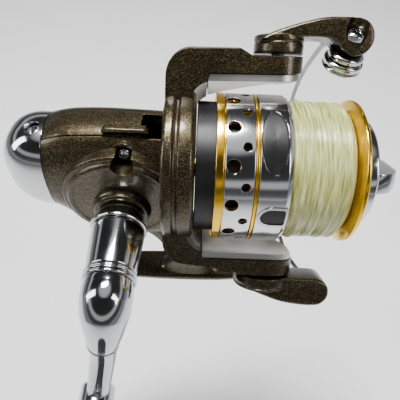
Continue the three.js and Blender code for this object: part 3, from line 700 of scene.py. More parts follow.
# %% Side cover
STEPS_RISE = 3.0
STEPS = [
    (9, 0), (9, 20.6), (13.7, 20.6), (14.3, 20.0), (14.3, 18.9),
    (15.2, 18.5), (15.7, 17.9), (15.7, 16.6), (15.45, 16.2), (15.45, 0),
]
BOSS = [(9, 0), (9, 10.2), (16.2, 10.2), (16.9, 9.7), (17.8, 9.6), (18.4, 9.0), (18.4, 0)]
cover = body_skin("side_cover_shell", 0, BODY_REAR, BODY_FRONT)
steps = turned("cover_steps", STEPS, lambda p: on_crank(p) + [0, 0, STEPS_RISE], ease=0.35)
near_half = boxed("near_half", -70, BODY_FRONT, -40, PARTING_Y - GAP / 2, -60, 40)
cover = shared(join(cover, steps), near_half)
cover = join(cover, turned("cover_boss", BOSS, on_crank, ease=0.3))
wells, posts, threads = [], [], []
for i, (x, z, depth) in enumerate(COVER_SCREWS):
    at = standing(TO_HANDLE, (x, 0, z))
    posts.append(disc(f"post_{i}", 4.7, 7.2, depth + 1.4, at))
    wells.append(disc(f"well_{i}", 3.6, depth, 30, at))
    threads.append(disc(f"thread_{i}", 1.7, 0, 30, at, 48))
cover = cut(cover, gear_room())
cover = join(cover, *posts)
bores = [disc("bearing_seat", 6.9, 0, 17.4, on_crank), disc("shaft_hole", 5.4, 0, 30, on_crank)]
cover = cut(cover, *bores, *wells, *threads)
finish_piece(cover, "body", "bronze_paint", BRONZE, "side_cover")

# %% [markdown]
# The rear cap is a chromed dome that ends the body. Its sections shrink as
# sqrt(1 - t^2.6), which is rounder than an ellipse near the seam and closes at the tail.

# %% Rear cap
CAP_LENGTH = 17.0
CAP_SCREW_AT = np.array([-54.3, -2.7, 16.9])
CAP_SCREW_AXIS = (-0.14, -0.12, 0.98)


def cap_shell(name, inset, front):
    """Sections from the seam to the tail, drawn in by inset; the middle rises 1 mm on the way."""
    t = np.sin(np.linspace(0, math.pi / 2, 60)) * 0.9999
    shrink = np.sqrt(1 - (t * 0.9999) ** 2.6)
    width, low, high, power = BODY_TABLE[0, 1:]
    half_high = (high - low) / 2 - inset
    y, z = superellipse((width - inset) * shrink, half_high * shrink, np.full(60, power), 128)
    z = z + ((high + low) / 2 + t)[:, None]
    x = BODY_REAR - GAP - (CAP_LENGTH - inset) * t
    x[0] = front
    return tube_of(name, np.stack([np.repeat(x[:, None], 128, axis=1), y, z], axis=2))


at_cap_screw = standing(CAP_SCREW_AXIS, CAP_SCREW_AT)
cap = cut(
    cap_shell("rear_cap_dome", 0, BODY_REAR - GAP),
    cap_shell("cap_room", 1.8, BODY_REAR + 1),
)
cap = join(cap, disc("cap_post", 3.1, -3.4, -1.2, at_cap_screw))
cap_well = disc("cap_well", 2.6, -1.9, 9, at_cap_screw)
cap = cut(cap, disc("cap_thread", 1.5, -9, 9, at_cap_screw, 48), cap_well)
finish_piece(cap, "body", "chrome", CHROME, "rear_cap")

# %% [markdown]
# All the screws are alike: a domed head with a cross recess. One function turns the head
# and cuts the cross, and is used at three sizes.

# %% Screws
def cross_screw(name, head, shank, length, place):
    """A pan head with its top at x = 0, a shank along -X, and a tapered cross recess."""
    high = head * 0.7
    profile = [
        (-length, 0), (-length, shank), (-high, shank), (-high, head),
        (-high * 0.35, head * 0.93), (-high * 0.1, head * 0.7), (0, head * 0.35), (0, 0),
    ]
    body = turned(name, profile, columns=72, ease=0.15)
    slot, reach, deep = head * 0.13, head * 0.56, -high * 0.6
    body = cut(
        body,
        boxed("cross_a", deep, 1, -reach, reach, -slot, slot),
        boxed("cross_b", deep, 1, -slot, slot, -reach, reach),
    )
    move_points(body, place)
    return body


def in_roller(points):
    """Half a turn about Z and 0.3 mm along, so that the head faces out of the bail arm."""
    return on_roller(points * [-1, -1, 1] + [0.3, 0, 0])


screw = cross_screw("rear_cap_screw_turned", 2.3, 1.2, 4.8, at_cap_screw)
finish_piece(screw, "body", "chrome", CHROME, "rear_cap_screw")
for i, (x, z, depth) in enumerate(COVER_SCREWS, 1):
    at = standing(TO_HANDLE, (x, -depth - 2, z))
    screw = cross_screw(f"side_cover_screw_{i}_turned", 2.4, 1.3, 5, at)
    finish_piece(screw, "body", "chrome", CHROME, f"side_cover_screw_{i}")
screw = cross_screw("roller_screw_turned", 3.3, 1.3, 16, in_roller)
finish_piece(screw, "bail", "chrome", CHROME, "roller_screw")

# %% [markdown]
# Levers and bars are outlines given a thickness. Their edges are rolled: the outline is
# drawn in by r (1 - sin a) while the side moves by r (1 - cos a), a quarter circle.

# %% Bars with rolled edges
def catmull_rom(a, b, c, d, f):
    """Half of 2b + (c - a) f + (2a - 5b + 4c - d) f^2 + (3b - a - 3c + d) f^3: from b to c."""
    square = 2 * a - 5 * b + 4 * c - d
    cube = 3 * b - a - 3 * c + d
    return 0.5 * (2 * b + (c - a) * f + square * f**2 + cube * f**3)


def outline_through(corners, count):
    """Closed Catmull-Rom curve through the corners, resampled evenly by arc length."""
    p = np.asarray(corners, float)
    t = np.linspace(0, len(p), 12 * len(p), endpoint=False)
    i = t.astype(int)
    f = (t - i)[:, None]
    a, b, c, d = (p[(i + k) % len(p)] for k in (-1, 0, 1, 2))
    fine = catmull_rom(a, b, c, d, f)
    loop = np.concatenate([fine, fine[:1]])
    run = np.concatenate([[0], np.cumsum(np.linalg.norm(np.diff(loop, axis=0), axis=1))])
    even = np.linspace(0, run[-1], count, endpoint=False)
    return np.stack([np.interp(even, run, loop[:, 0]), np.interp(even, run, loop[:, 1])], axis=1)


def rolled_bar(name, outline, y0, y1, roll, place=works):
    """An outline in the XZ plane from y0 to y1, its two edges rolled by radius `roll`."""
    ahead = np.roll(outline, -1, axis=0)
    along = ahead - np.roll(outline, 1, axis=0)
    normal = np.stack([-along[:, 1], along[:, 0]], axis=1)
    normal /= np.linalg.norm(normal, axis=1)[:, None]
    area = np.sum(outline[:, 0] * ahead[:, 1] - ahead[:, 0] * outline[:, 1])
    inward = normal * np.sign(area)
    a = np.linspace(0, math.pi / 2, 7)
    draw = np.concatenate([roll * (1 - np.sin(a)), roll * (1 - np.sin(a[::-1]))])
    y = np.concatenate([y0 + roll * (1 - np.cos(a)), y1 - roll * (1 - np.cos(a[::-1]))])
    flat = outline[None] + inward[None] * draw[:, None, None]
    depth = np.repeat(y[:, None], len(outline), axis=1)
    rings = np.stack([flat[:, :, 0], depth, flat[:, :, 1]], axis=2)
    rows, columns, _ = rings.shape
    points = rings.reshape(-1, 3)
    made = bpy.data.meshes.new(name)
    quads = grid_faces(rows, columns).tolist()
    ends = [list(range(columns))[::-1], list(range((rows - 1) * columns, rows * columns))]
    made.from_pydata(place(points).tolist(), [], quads + ends)
    made.update()
    piece = bpy.data.objects.new(name, made)
    bpy.context.scene.collection.objects.link(piece)
    fix_outward(piece)
    return piece


def fix_outward(piece):
    """Recalculates normals so that every face points outwards."""
    work = bmesh.new()
    work.from_mesh(piece.data)
    bmesh.ops.recalc_face_normals(work, faces=work.faces)
    work.to_mesh(piece.data)
    work.free()


# %% [markdown]
# The anti-reverse switch is a low bar on top of the body. It slides to let the handle turn
# backwards, so it is a rolled bar with a stem that reaches down through the slot.

# %% Anti-reverse switch
SWITCH = [
    (-30.4, 20.6), (-30.3, 21.5), (-29.4, 22.15), (-24, 22.2),
    (-17.5, 22.15), (-16.5, 21.5), (-16.4, 20.6), (-24, 20.6),
]
switch = rolled_bar("anti_reverse_switch_bar", outline_through(SWITCH, 90), -7.2, -4.4, 0.5)
switch = join(switch, boxed("switch_stem", -24.4, -22.6, -6, -5.5, 17.2, 21))
finish_piece(switch, "switch", "bronze_paint", BRONZE, "anti_reverse_switch")

# %% [markdown]
# The handle's shaft end is all turned and chromed: a flared hub, a sleeve, a double-banded
# collar. The arm then bends down. Its skin is rings of a changing radius carried along a
# smooth path, each ring square to the path.

# %% Handle
HUB = [
    (18.9, 3.2), (18.9, 7.6), (20.2, 8.2), (23.4, 8.8), (24.0, 9.5),
    (24.5, 9.7), (25.0, 9.5), (25.2, 9.1), (25.2, 3.2),
]
SLEEVE = [(25.5, 0), (25.5, 9.0), (26.2, 9.1), (41.2, 8.05), (41.5, 7.8), (41.5, 0)]
COLLAR = [
    (41.8, 0), (41.8, 8.1), (42.2, 8.5), (42.7, 8.5), (42.95, 8.05),
    (43.75, 8.05), (44.0, 8.5), (44.5, 8.5), (44.9, 8.1), (44.9, 0),
]
hub = turned("handle_hub_turned", HUB, on_crank, ease=0.25, loop=True)
finish_piece(hub, "crank", "chrome", CHROME, "handle_hub")
sleeve = turned("handle_sleeve_turned", SLEEVE, on_crank, ease=0.3)
finish_piece(sleeve, "crank", "chrome", CHROME, "handle_sleeve")
collar = turned("handle_collar_turned", COLLAR, on_crank, ease=0.15)
finish_piece(collar, "crank", "chrome", CHROME, "handle_collar")


def path_through(points, rows):
    """Open Catmull-Rom curve through the points, and the knot number at each of its rows."""
    p = np.asarray(points, float)
    p = np.concatenate([[2 * p[0] - p[1]], p, [2 * p[-1] - p[-2]]])
    t = np.linspace(0, len(points) - 1, rows)
    i = np.minimum(t.astype(int), len(points) - 2)
    f = (t - i)[:, None]
    a, b, c, d = p[i], p[i + 1], p[i + 2], p[i + 3]
    return catmull_rom(a, b, c, d, f), t


def tube_along(name, points, radius_at, rows, columns, across, place=works):
    """Rings of radius_at(knot) round a path; `across` is a direction never along the path."""
    centre, knot = path_through(points, rows)
    tangent = np.gradient(centre, axis=0)
    tangent /= np.linalg.norm(tangent, axis=1)[:, None]
    side = np.cross(tangent, np.asarray(across, float))
    side /= np.linalg.norm(side, axis=1)[:, None]
    up = np.cross(side, tangent)
    a = np.linspace(0, 2 * math.pi, columns, endpoint=False)[None, :, None]
    r = radius_at(knot)[:, None, None]
    rings = centre[:, None] + r * (side[:, None] * np.cos(a) + up[:, None] * np.sin(a))
    return tube_of(name, rings, place)


HANDLE_PATH = CRANK_AT + np.array(
    [
        [0, -45.2, 0],
        [0, -46.8, 0],
        [0, -49.6, -0.4],
        [-0.2, -53, -3],
        [-0.8, -56.6, -9],
        [-1.4, -58.6, -13.6],
        [-2, -60.3, -19],
        [-3.5, -64.4, -27.6],
        ARM_END - CRANK_AT,
    ]
)


def arm_radius(knot):
    """Full at the elbow, then a slim arm, with a raised seam where the casting meets it."""
    plain = np.interp(knot, np.arange(9), [8.0, 8.1, 8.15, 7.8, 6.1, 4.75, 4.4, 4.1, 3.9])
    seam = 0.32 * np.exp(-(((knot - 4.97) / 0.035) ** 2))
    return plain + seam - 0.12 / (1 + np.exp(-(knot - 5.05) * 60))


arm = tube_along("handle_arm_swept", HANDLE_PATH, arm_radius, 260, 72, (1, 0, 0))
EYE = [(-4.2, 0), (-4.2, 5.2), (-3.4, 5.8), (4.4, 5.8), (5.2, 5.2), (5.2, 0)]
arm = join(arm, turned("arm_eye", EYE, on_knob, ease=0.4))
finish_piece(arm, "crank", "chrome", CHROME, "handle_arm", crease=40)
FAR_CAP = [(15.5, 0), (15.5, 7.8), (16.4, 8.2), (19.6, 7.6), (20.8, 6), (20.8, 0)]


def rim_ribs(x, a):
    """48 ribs round the cap's rim, 0.09 cos(48 a) high."""
    return 0.09 * np.cos(48 * a) * ((x > 16) & (x < 19.8))


far_cap = turned("handle_screw_cap_turned", FAR_CAP, on_far_side, ease=0.4, wave=rim_ribs)
finish_piece(far_cap, "crank", "chrome", CHROME, "handle_screw_cap")

# %% [markdown]
# The knob is moulded plastic. It is turned, flattened a little, and given fine grooves for
# the fingers on its two flattened sides.

# %% Knob
KNOB = [
    (9, 2.4), (9, 6.6), (10, 7.4), (13, 7.6), (17, 8.6), (23, 10.4), (28, 11.2),
    (32, 10.6), (34.4, 8), (35, 5), (35, 0.01), (32.6, 0.01), (32.6, 2.4),
]
KNOB_FLATTENING = [1, 1, 0.86]


def finger_grooves(x, a):
    """Grooves 0.22 mm deep, one every 1.6 mm along X, where |sin a| is over 0.55."""
    groove = np.cos(2 * math.pi * (x - 22) / 1.6) > 0.3
    return -0.22 * groove * ((x > 17.5) & (x < 29.5) & (np.abs(np.sin(a)) > 0.55))


def flattened(points):
    """The knob's place, after its round section is made an oval."""
    return on_knob(points * KNOB_FLATTENING)


knob = turned("handle_knob_moulded", KNOB, flattened, ease=1.6, loop=True, wave=finger_grooves)
finish_piece(knob, "knob", "knob_plastic", KNOB_BLACK, "handle_knob")
knob_collar = ring("knob_collar_turned", 6.4, 2.4, 6, 8.7, on_knob, ease=0.5)
finish_piece(knob_collar, "knob", "chrome", CHROME, "knob_collar")

# %% [markdown]
# The rotor is one casting: a cup-shaped ring behind the spool and two arms that reach
# forward past it. An arm is a turned shell cut to an outline seen from outside.

# %% Rotor
ARM_INNER, ARM_REAR, ARM_CORNER, PIVOT_X, TIP_OUTER = 31.0, -11.4, 8.0, 26.0, 38.8
TIP_UPPER, TIP_LOWER, COVER_THICK = 8.6, 10.8, 2.1


def arc(cx, cy, radius, start, end, steps):
    """Points on a circle from start to end, in degrees."""
    a = np.radians(np.linspace(start, end, steps + 1))
    return np.stack([cx + radius * np.cos(a), cy + radius * np.sin(a)], axis=1).tolist()


def arm_profile(corner_r, back, tip_x):
    """The arm's section through the shaft, from the ring round the corner to the tip."""
    inner = ARM_INNER + COVER_THICK + GAP
    return [
        (-9, 24.6), (ARM_REAR, 24.6),
        *arc(ARM_REAR + ARM_CORNER, corner_r - ARM_CORNER, ARM_CORNER, 180, 92, 14),
        *back, (tip_x, TIP_OUTER), (tip_x, inner), (2.4, inner), (2.4, ARM_INNER),
        *arc(3.5, ARM_INNER - 7, 7, 100, 180, 12), (-4.5, 24.6),
    ]


def arm_outline(tip_r, inset):
    """The arm seen from outside: wide at the ring, round at the tip."""
    tip = arc(PIVOT_X, 0, tip_r - inset, -95, 95, 40)
    near, far = [(-16, -12.5 + inset), (6, -10.6 + inset)], [(6, 17 - inset), (-16, 25 - inset)]
    return np.array([*near, *tip, *far])


def plate(name, outline, z0, z1):
    """An outline in the XY plane between two heights."""
    n = len(outline)
    rings = np.stack([np.column_stack([outline, np.full(n, z)]) for z in (z0, z1)])
    return tube_of(name, rings)


stood_up = standing((0, 0, 1), (PIVOT_X, 0, 0))


def flipped(points):
    """The same on the lower arm: half a turn would swap the sides, so Z alone changes sign."""
    return points * [1, 1, -1]


def moved(piece, place):
    """Applies a place to a finished mesh, and turns its faces outwards again."""
    move_points(piece, place)
    piece.data.update()
    fix_outward(piece)
    return piece


def rotor_arm(name, corner_r, back, tip_r):
    """A turned shell kept inside the arm's outline, with the pivot's bore and the spring's room."""
    profile = arm_profile(corner_r, back, PIVOT_X + tip_r)
    shell = turned(name, profile, columns=288, ease=0.5, loop=True)
    shell = shared(shell, plate("outline", arm_outline(tip_r, 0), 10, 60))
    bore = disc("pivot_bore", 2.4, 25, 60, stood_up, 48)
    return cut(shell, bore, boxed("spring_room", 6, 21, -2.4, 2.4, 30, 36.6))


upper = rotor_arm("arm_up", 40.6, [(12.6, 40.9), (16.4, TIP_OUTER)], TIP_UPPER)
lower = moved(rotor_arm("arm_down", 35.6, [(14, 37.4), (16.6, TIP_OUTER)], TIP_LOWER), flipped)
RING_PROFILE = [
    (-11.4, 23.6), (-11.4, 25.9), (-10.6, 26.5), (-8.2, 26.6), (-7.5, 25.6), (-6.6, 25.6),
    (-6, 26.4), (-2.1, 26), (-1, 25), (-1, 4.9), (-3.6, 4.9), (-3.6, 23.6),
]
rotor = turned("rotor_cast", RING_PROFILE, columns=288, ease=0.45, loop=True)
rotor = cut(rotor, boxed("balance_notch", -20, -10.4, -1.2, 1.2, 22, 28))
rotor = moved(join(rotor, upper, lower), from_rotor)
finish_piece(rotor, "rotor", "bronze_paint", BRONZE, "rotor")


def arm_cover(name, tip_r, place):
    """The plate that closes the inside of an arm, in a pale grey that is a painted reflection of bright
    surroundings on the dark lacquer.
    """
    end = PIVOT_X + tip_r - 0.8
    shell = ring(name, ARM_INNER + COVER_THICK, ARM_INNER, 2.7, end, columns=288, ease=0.3)
    shell = shared(shell, plate("outline", arm_outline(tip_r, 0.5), 10, 60))
    return moved(shell, in_rotor(place))


# Both covers take the pale grey lacquer, a painted reflection rather than a paint of their own.
for side, tip_r, place in (("upper", TIP_UPPER, works), ("lower", TIP_LOWER, flipped)):
    sheen_plate = arm_cover(f"arm_cover_{side}_plate", tip_r, place)
    finish_piece(sheen_plate, "rotor", "bronze_paint", SHEEN_GREY_LACQUER, f"arm_cover_{side}")
# The cup's black sleeve runs on to x = 22 under the skirt's holes: partly the rotor's cylinder inside the
# skirt, partly a dark sheet painted in for the shade seen through the holes.
CUP = [(-0.7, 7.6), (-0.7, 23), (22, 23), (22, 21.8), (0.8, 21.6), (0.8, 7.6)]
cup = turned("rotor_cup_moulded", CUP, columns=200, ease=0.4, loop=True)
finish_piece(cup, "rotor", "black_plastic", BLACK, "rotor_cup")

# %% [markdown]
# The bail's two arms turn on pins in the rotor's arms. The upper one carries the roller,
# the lower one only the wire. Both are flat castings with rolled edges and a round boss.

# %% Bail
UPPER_LEVER = [
    (18.4, 42.6), (20.4, 44.4), (23.6, 45.9), (27, 47.2), (33, 49.1), (40, 50.7),
    *arc(49.6, 45, 6.1, 100, -95, 9),
    (45.6, 41), (43.4, 43.4), (40.4, 44.4), (34, 44.4), (27, 43.6), (21, 42),
]
LOWER_LEVER = [
    (15.8, 40.0), (18.0, 42.4), (22, 45), (26.7, 46.9), (33, 49), (40.5, 50),
    *arc(45.2, 44.7, 5.3, 80, -90, 7),
    (40, 39.4), (30, 39.4), (20, 39.4),
]
ROLLER_R, COLLAR_R, FACE_Z = 6.9, 6.0, 39.3


def bail_boss(tip_r, top):
    """The round foot of a bail arm, standing on the rotor arm's tip, with a fine groove."""
    r = tip_r - 0.2
    profile = [
        (FACE_Z, 0), (FACE_Z, r), (FACE_Z + 3.2, r), (FACE_Z + 3.4, r - 0.25),
        (FACE_Z + 3.8, r - 0.25), (FACE_Z + 4.0, r), (top, r), (top, 0),
    ]
    return turned("bail_boss", profile, stood_up, ease=0.3)


lever = rolled_bar("bail_arm_upper_cast", outline_through(UPPER_LEVER, 160), -8, 4.2, 1.2)
lever = join(lever, bail_boss(TIP_UPPER, 45))
lever = cut(
    lever,
    disc("pin_bore", 2.4, 30, 42.2, stood_up, 48),
    disc("screw_bore", 1.6, -5, 30, at_roller, 48),
    disc("screw_well", 3.6, -5, 2.9, at_roller),
    disc("collar_room", COLLAR_R + GAP, 7.4, 20, at_roller),
    disc("roller_room", ROLLER_R + 2 * GAP, 9.6, 20, at_roller),
)
finish_piece(moved(lever, from_rotor), "bail", "bronze_paint", BRONZE, "bail_arm_upper")
lever = rolled_bar("bail_arm_lower_cast", outline_through(LOWER_LEVER, 160), -8, 4.2, 1.2)
lever = cut(join(lever, bail_boss(TIP_LOWER, 44)), disc("pin_bore", 2.4, 30, 42.2, stood_up, 48))
finish_piece(moved(lever, in_rotor(flipped)), "bail", "bronze_paint", BRONZE, "bail_arm_lower")
COLLAR_BY_ROLLER = [(7.7, 1.6), (7.7, 5.4), (8.2, 6), (9.6, 6), (9.6, 1.6)]
ROLLER = [
    (9.9, 1.6), (9.9, 5.4), (10.3, 6.6), (10.9, ROLLER_R), (11.6, 6.5),
    (12.4, 6.5), (13.1, ROLLER_R), (13.9, 6.2), (13.9, 1.6),
]
collar = turned("roller_collar_turned", COLLAR_BY_ROLLER, on_roller, ease=0.3, loop=True)
finish_piece(collar, "bail", "chrome", CHROME, "roller_collar")
roller = turned("line_roller_turned", ROLLER, on_roller, ease=0.35, loop=True)
finish_piece(roller, "line_roller", "chrome", CHROME, "line_roller")
WIRE = [
    (44.6, 4.5, 45), (43.4, 12, 43.6), (42.8, 34, 35.6), (42.8, 50, 24), (43, 60, 4),
    (41.8, 56, -17), (39.8, 42.5, -31.4), (39.6, 31, -37.6), (41.2, 19, -41.6), (44.4, 4.5, -44.2),
]


def wire_radius(knot):
    """0.9 mm all the way."""
    return np.full(len(knot), 0.9)


wire = tube_along("bail_wire_bent", WIRE, wire_radius, 240, 24, (1, 0, 0.05), from_rotor)
finish_piece(wire, "bail", "steel", STEEL, "bail_wire", crease=50)

# %% [markdown]
# The spool's skirt is a drum of bands: a gold ring, a silver band with two rows of round
# holes, a fine gold line, and a polished front band with a plain black oval and a small
# bullet-shaped line clip in a chrome rim. The holes go on through the gold liner, so each
# shows a gold wall and, behind it, the black sleeve of the rotor cup, which is partly the rotor's
# cylinder inside the skirt and partly painted shade seen through the holes.

# %% Spool
LINER_R, SKIRT_R, BAND_R = 24.9, 26.0, 26.2
SEAT_R = LINER_R + GAP
LINER = [
    (6, 23.7), (6, LINER_R), (29, LINER_R), (29, 14), (50.2, 14),
    (50.2, 11), (30.6, 11), (30.6, 2.6), (26.6, 2.6), (26.6, 23.7),
]
liner = turned("spool_body_turned", LINER, columns=200, ease=0.3, loop=True)
gold_ring = ring("skirt_rear_ring_turned", SKIRT_R, SEAT_R, 5.5, 8.1, columns=240, ease=0.3)
finish_piece(gold_ring, "spool", "gold_anodised", GOLD, "skirt_rear_ring")
gold_ring = ring("skirt_trim_ring_turned", SKIRT_R + 0.05, SEAT_R, 17.9, 18.8, columns=240, ease=0.3)
finish_piece(gold_ring, "spool", "gold_anodised", GOLD, "skirt_trim_ring")


def hole_row(radius, x, degrees, count=13):
    """Evenly spaced drills through the skirt, the first at an angle about X from +Z."""
    drills = []
    for i in range(count):
        angle = math.radians(degrees + 360 / count * i)
        outward = (0, -math.sin(angle), math.cos(angle))
        drills.append(disc(f"drill_{i}", radius, 22, 29, standing(outward, (x, 0, 0)), 40))
    return drills


def drilled(drum):
    """A drum with the large and the small holes, about half a step apart."""
    return cut(drum, *hole_row(2.2, 11, 43.3), *hole_row(1.5, 15.1, 29.9))


skirt = drilled(ring("spool_skirt_turned", SKIRT_R, SEAT_R, 8.4, 17.6, columns=288, ease=0.25))
liner = drilled(liner)
finish_piece(liner, "spool", "gold_anodised", GOLD, "spool_body")
finish_piece(skirt, "spool", "silver_aluminium", SILVER, "spool_skirt")


def skirt_patch(name, x, half_x, half_arc, degrees, low, high):
    """An oval on the drum: (rho, phi) gives x and arc, and the rim rolls up to an even top."""
    phi = np.linspace(0, 2 * math.pi, 96, endpoint=False)
    top = np.array([1.0, 1.0, 0.985, 0.95, 0.85, 0.6, 0.3, 0.02])
    lift = np.array([0.0, 0.7, 0.92, 1.0, 1.0, 1.0, 1.0, 1.0])
    rho = np.repeat(top[:, None], 96, axis=1)
    radius = low + (high - low) * np.repeat(lift[:, None], 96, axis=1)
    px = x + half_x * rho * np.cos(phi)
    angle = math.radians(degrees) - half_arc * rho * np.sin(phi) / BAND_R
    rings = np.stack([px, -radius * np.sin(angle), radius * np.cos(angle)], axis=2)
    return tube_of(name, rings)


BAND = [(19.1, SEAT_R), (19.1, BAND_R), (27.9, BAND_R), (29.3, BAND_R - 0.8), (29.3, SEAT_R)]
band = turned("skirt_front_band_turned", BAND, columns=288, ease=0.2, loop=True)
BADGE_X, BADGE_DEG, CLIP_DEG = 23.5, 24.6, 80


def spun(degrees):
    """A place that turns points about the main shaft: y' = y cos - z sin, z' = y sin + z cos."""
    c, s = math.cos(math.radians(degrees)), math.sin(math.radians(degrees))
    return lambda p: np.stack([p[:, 0], p[:, 1] * c - p[:, 2] * s, p[:, 1] * s + p[:, 2] * c], axis=1)


def clip_outline(grow):
    """A bullet: half an ellipse behind, straight sides, and a square front with eased corners."""
    a = np.linspace(math.pi / 2, 3 * math.pi / 2, 49)
    nose = np.stack([24 + (3.7 + grow) * np.cos(a), (3.2 + grow) * np.sin(a)], axis=1)
    front, half = 28.3 + min(grow, 0.7), 3.2 + grow
    tail = [(front - 0.8, -half), (front - 0.25, 0.25 - half), (front, 0.8 - half)]
    return np.array([*nose, *tail, *[(x, -v) for x, v in reversed(tail)]])


def clip_patch(name, outline, low, high):
    """The part of a drum between two radii that stands over an outline."""
    drum = ring(name, high, low, 16, 31, columns=288, ease=0.1)
    return shared(drum, moved(plate("over", outline, 15, 30), spun(CLIP_DEG)))


band = cut(
    band,
    skirt_patch("badge_recess", BADGE_X, 4.3, 10.8, BADGE_DEG, BAND_R - 0.5, 29),
    clip_patch("clip_recess", clip_outline(0.95), BAND_R - 0.6, BAND_R + 2),
)
finish_piece(band, "spool", "silver_aluminium", SILVER, "skirt_front_band")
badge = skirt_patch("spool_badge_oval", BADGE_X, 4.1, 10.6, BADGE_DEG, BAND_R - 0.4, BAND_R + 0.25)
finish_piece(badge, "spool", "black_plastic", BLACK, "spool_badge")
rim = clip_patch("line_clip_rim", clip_outline(0.85), BAND_R - 0.58, BAND_R + 0.3)
rim = cut(rim, moved(plate("clip_mouth", clip_outline(0.0), 15, 30), spun(CLIP_DEG)))
finish_piece(rim, "spool", "chrome", CHROME)
pad = clip_patch("line_clip_pad", clip_outline(-0.04), BAND_R - 0.58, BAND_R - 0.1)
finish_piece(pad, "spool", "black_plastic", BLACK, "line_clip")

# %% [markdown]
# Wound line is hundreds of turns side by side. Each turn shows as a ridge, and because the
# spool slides to and fro while the line goes on, the ridges lean and cross. The radius adds
# a ridge every 0.42 mm, shifted slowly round the spool and crossed by others 0.57 mm apart,
# to lumps that vary both ways.

# %% Fishing line
def windings(x, a):
    """|sin| ridges along x whose phase wanders with the angle, a second set, and slow lumps."""
    fade = np.clip((x - 29.9) / 0.8, 0, 1) * np.clip((50.1 - x) / 0.8, 0, 1)
    lean = 0.5 * np.sin(a + 0.7) + 0.22 * np.sin(3 * a + 1.9) + 0.1 * np.sin(7 * a)
    first = np.abs(np.sin(math.pi * (x + lean) / 0.42))
    second = np.abs(np.sin(math.pi * (x - 1.3 * lean + 0.2) / 0.57))
    slow = 0.22 * np.sin(x * 1.35 + 0.8 * np.sin(a * 2))
    lumps = slow + 0.12 * np.sin(x * 3.1 + 2 * np.cos(a + 1))
    return fade * (0.15 * np.maximum(first, 0.85 * second) + 0.8 * lumps)


line_x = np.linspace(30.2, 49.6, 330)
LINE_KNOTS = np.array([29.6, 32.0, 38.0, 45.0, 48.2, 50.2])
LINE_RADII = np.array([23.4, 24.2, 23.9, 24.0, 23.4, 21.7])
line_r = smooth_through(line_x, LINE_KNOTS, LINE_RADII)
line_top = np.column_stack([line_x, line_r]).tolist()
line_profile = [(29.6, 14.3), (29.6, 22.9), *line_top, (50.2, 21.2), (50.2, 14.3)]
line = turned("fishing_line_wound", line_profile, columns=216, ease=0.0, loop=True, wave=windings)
finish_piece(line, "spool", "nylon_line", NYLON, "fishing_line", crease=80)

# %% [markdown]
# Line slips off over the spool's gold lip. In front of it stands the drag knob: a smooth
# disc, and a ridge to turn it by, which is a dome cut down to a narrow plate.

# %% Spool lip and drag knob
LIP = [
    (50.5, 11.5), (50.5, 21.4), (51.9, 25.3), (52.9, 25.3), (53.4, 24.6),
    (53.4, 21), (54.4, 20), (54.4, 18.9), (52.2, 18.9), (52.2, 11.5),
]
lip = turned("spool_lip_turned", LIP, columns=240, ease=0.35, loop=True)
finish_piece(lip, "spool", "gold_anodised", GOLD, "spool_lip")
KNOB_DISC = [
    (53.4, 2.6), (53.4, 17.8), (54.8, 18.9), (57.9, 18.9), (58.6, 18.2), (58.9, 16),
    (58.9, 14.5), (58.75, 14.2), (58.75, 0.01), (57, 0.01), (57, 2.6),
]
knob_disc = turned("drag_knob_turned", KNOB_DISC, columns=216, ease=0.3, loop=True)
finish_piece(knob_disc, "drag_knob", "silver_aluminium", SILVER, "drag_knob")
GRIP_DOME = [(59.2, 0), (59.2, 13.4), (62, 13.2), (65.5, 12), (68.2, 9.2), (70, 5), (70.4, 0)]
GRIP_PLATE = [
    (57, -3.6), (61, -3.6), (65.4, -3.4), (69.2, -3.1), (70.2, -2.4), (70.5, 0),
    (70.2, 2.4), (69.2, 3.1), (65.4, 3.4), (61, 3.6), (57, 3.6), (56.8, 0),
]
GRIP_DEG = 61.7
grip = turned("drag_knob_grip_cast", GRIP_DOME, columns=144, ease=1.2)
grip = shared(grip, plate("grip_outline", outline_through(GRIP_PLATE, 120), -20, 20))
finish_piece(moved(grip, spun(GRIP_DEG)), "drag_knob", "chrome", CHROME, "drag_knob_grip")

# %% [markdown]
# The pieces inside keep their plain solids, because nothing of them shows but an edge, and
# each takes the finish that its record names.

# %% Finishes for the inner pieces
BY_SLOT = {
    "bronze_paint": BRONZE,
    "chrome": CHROME,
    "steel": STEEL,
    "brass": BRASS,
    "gold_anodised": GOLD,
    "silver_aluminium": SILVER,
    "black_plastic": BLACK,
    "knob_plastic": KNOB_BLACK,
    "nylon_line": NYLON,
}
slot_of = {entry["node"]: entry["material_slot"] for entry in frame["record"]["subparts"]}
for name, solid in frame["nodes"].items():
    solid.data.materials.clear()
    solid.data.materials.append(BY_SLOT[slot_of[name]])

# %% [markdown]
# A pale floor lies well below the reel, and soft lamps hang above it. The sky is dark, so
# that chrome has something dark to mirror, apart from a bright band about twenty degrees
# above the horizon and a bright patch straight overhead.

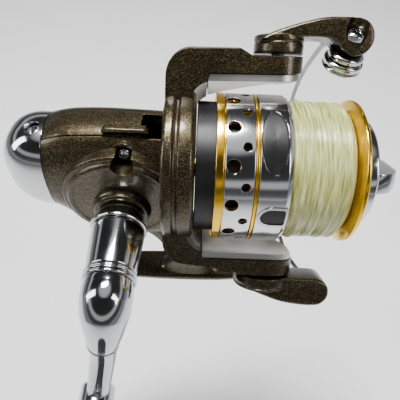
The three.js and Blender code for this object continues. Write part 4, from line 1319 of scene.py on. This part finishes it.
# %% Floor, lamps and world
floor_mesh = bpy.data.meshes.new("floor")
FLOOR_HALF, FLOOR_Z = 6, -0.16
corners = [(x * FLOOR_HALF, y * FLOOR_HALF, FLOOR_Z) for x, y in ((-1, -1), (1, -1), (1, 1), (-1, 1))]
floor_mesh.from_pydata(corners, [], [(0, 1, 2, 3)])
floor = bpy.data.objects.new("floor", floor_mesh)
bpy.context.scene.collection.objects.link(floor)
floor_finish, _, _ = new_finish("floor_white", (0.93, 0.93, 0.93), 0.0, 0.9)
floor_mesh.materials.append(floor_finish)


def lamp(name, at, towards, size, watts):
    """A rectangular area lamp that looks at a point."""
    data = bpy.data.lights.new(name, "AREA")
    data.shape = "RECTANGLE"
    data.size, data.size_y = size
    data.energy = watts
    made = bpy.data.objects.new(name, data)
    at, towards = Vector(at), Vector(towards)
    made.location = at
    made.rotation_euler = (towards - at).to_track_quat("-Z", "Y").to_euler()
    bpy.context.scene.collection.objects.link(made)


lamp("lamp_top", (-0.06, 0.16, 0.85), (0, 0, 0.07), (0.30, 0.16), 16)
lamp("lamp_left", (-0.80, -0.15, 0.55), (0, 0, 0.07), (0.25, 0.7), 5)
lamp("lamp_right", (0.70, -0.35, 0.65), (0, 0, 0.07), (0.25, 0.5), 4)

world = bpy.data.worlds.new("studio")
bpy.context.scene.world = world
world.use_nodes = True
tree = world.node_tree
direction = node(tree, "ShaderNodeTexCoord")
height = node(tree, "ShaderNodeSeparateXYZ")
tree.links.new(direction.outputs["Generated"], height.inputs["Vector"])
SKY = [
    (0.0, 0.5), (0.05, 0.12), (0.24, 0.05), (0.30, 0.6),
    (0.40, 0.6), (0.47, 0.04), (0.88, 0.03), (0.96, 0.7),
]
sky = ramp(tree, height.outputs["Z"], SKY)
tree.links.new(sky, tree.nodes["Background"].inputs["Color"])
tree.nodes["Background"].inputs["Strength"].default_value = 1.0

# %% [markdown]
# Last, the view layer is brought up to date.

# %% The end
bpy.context.view_layer.update()
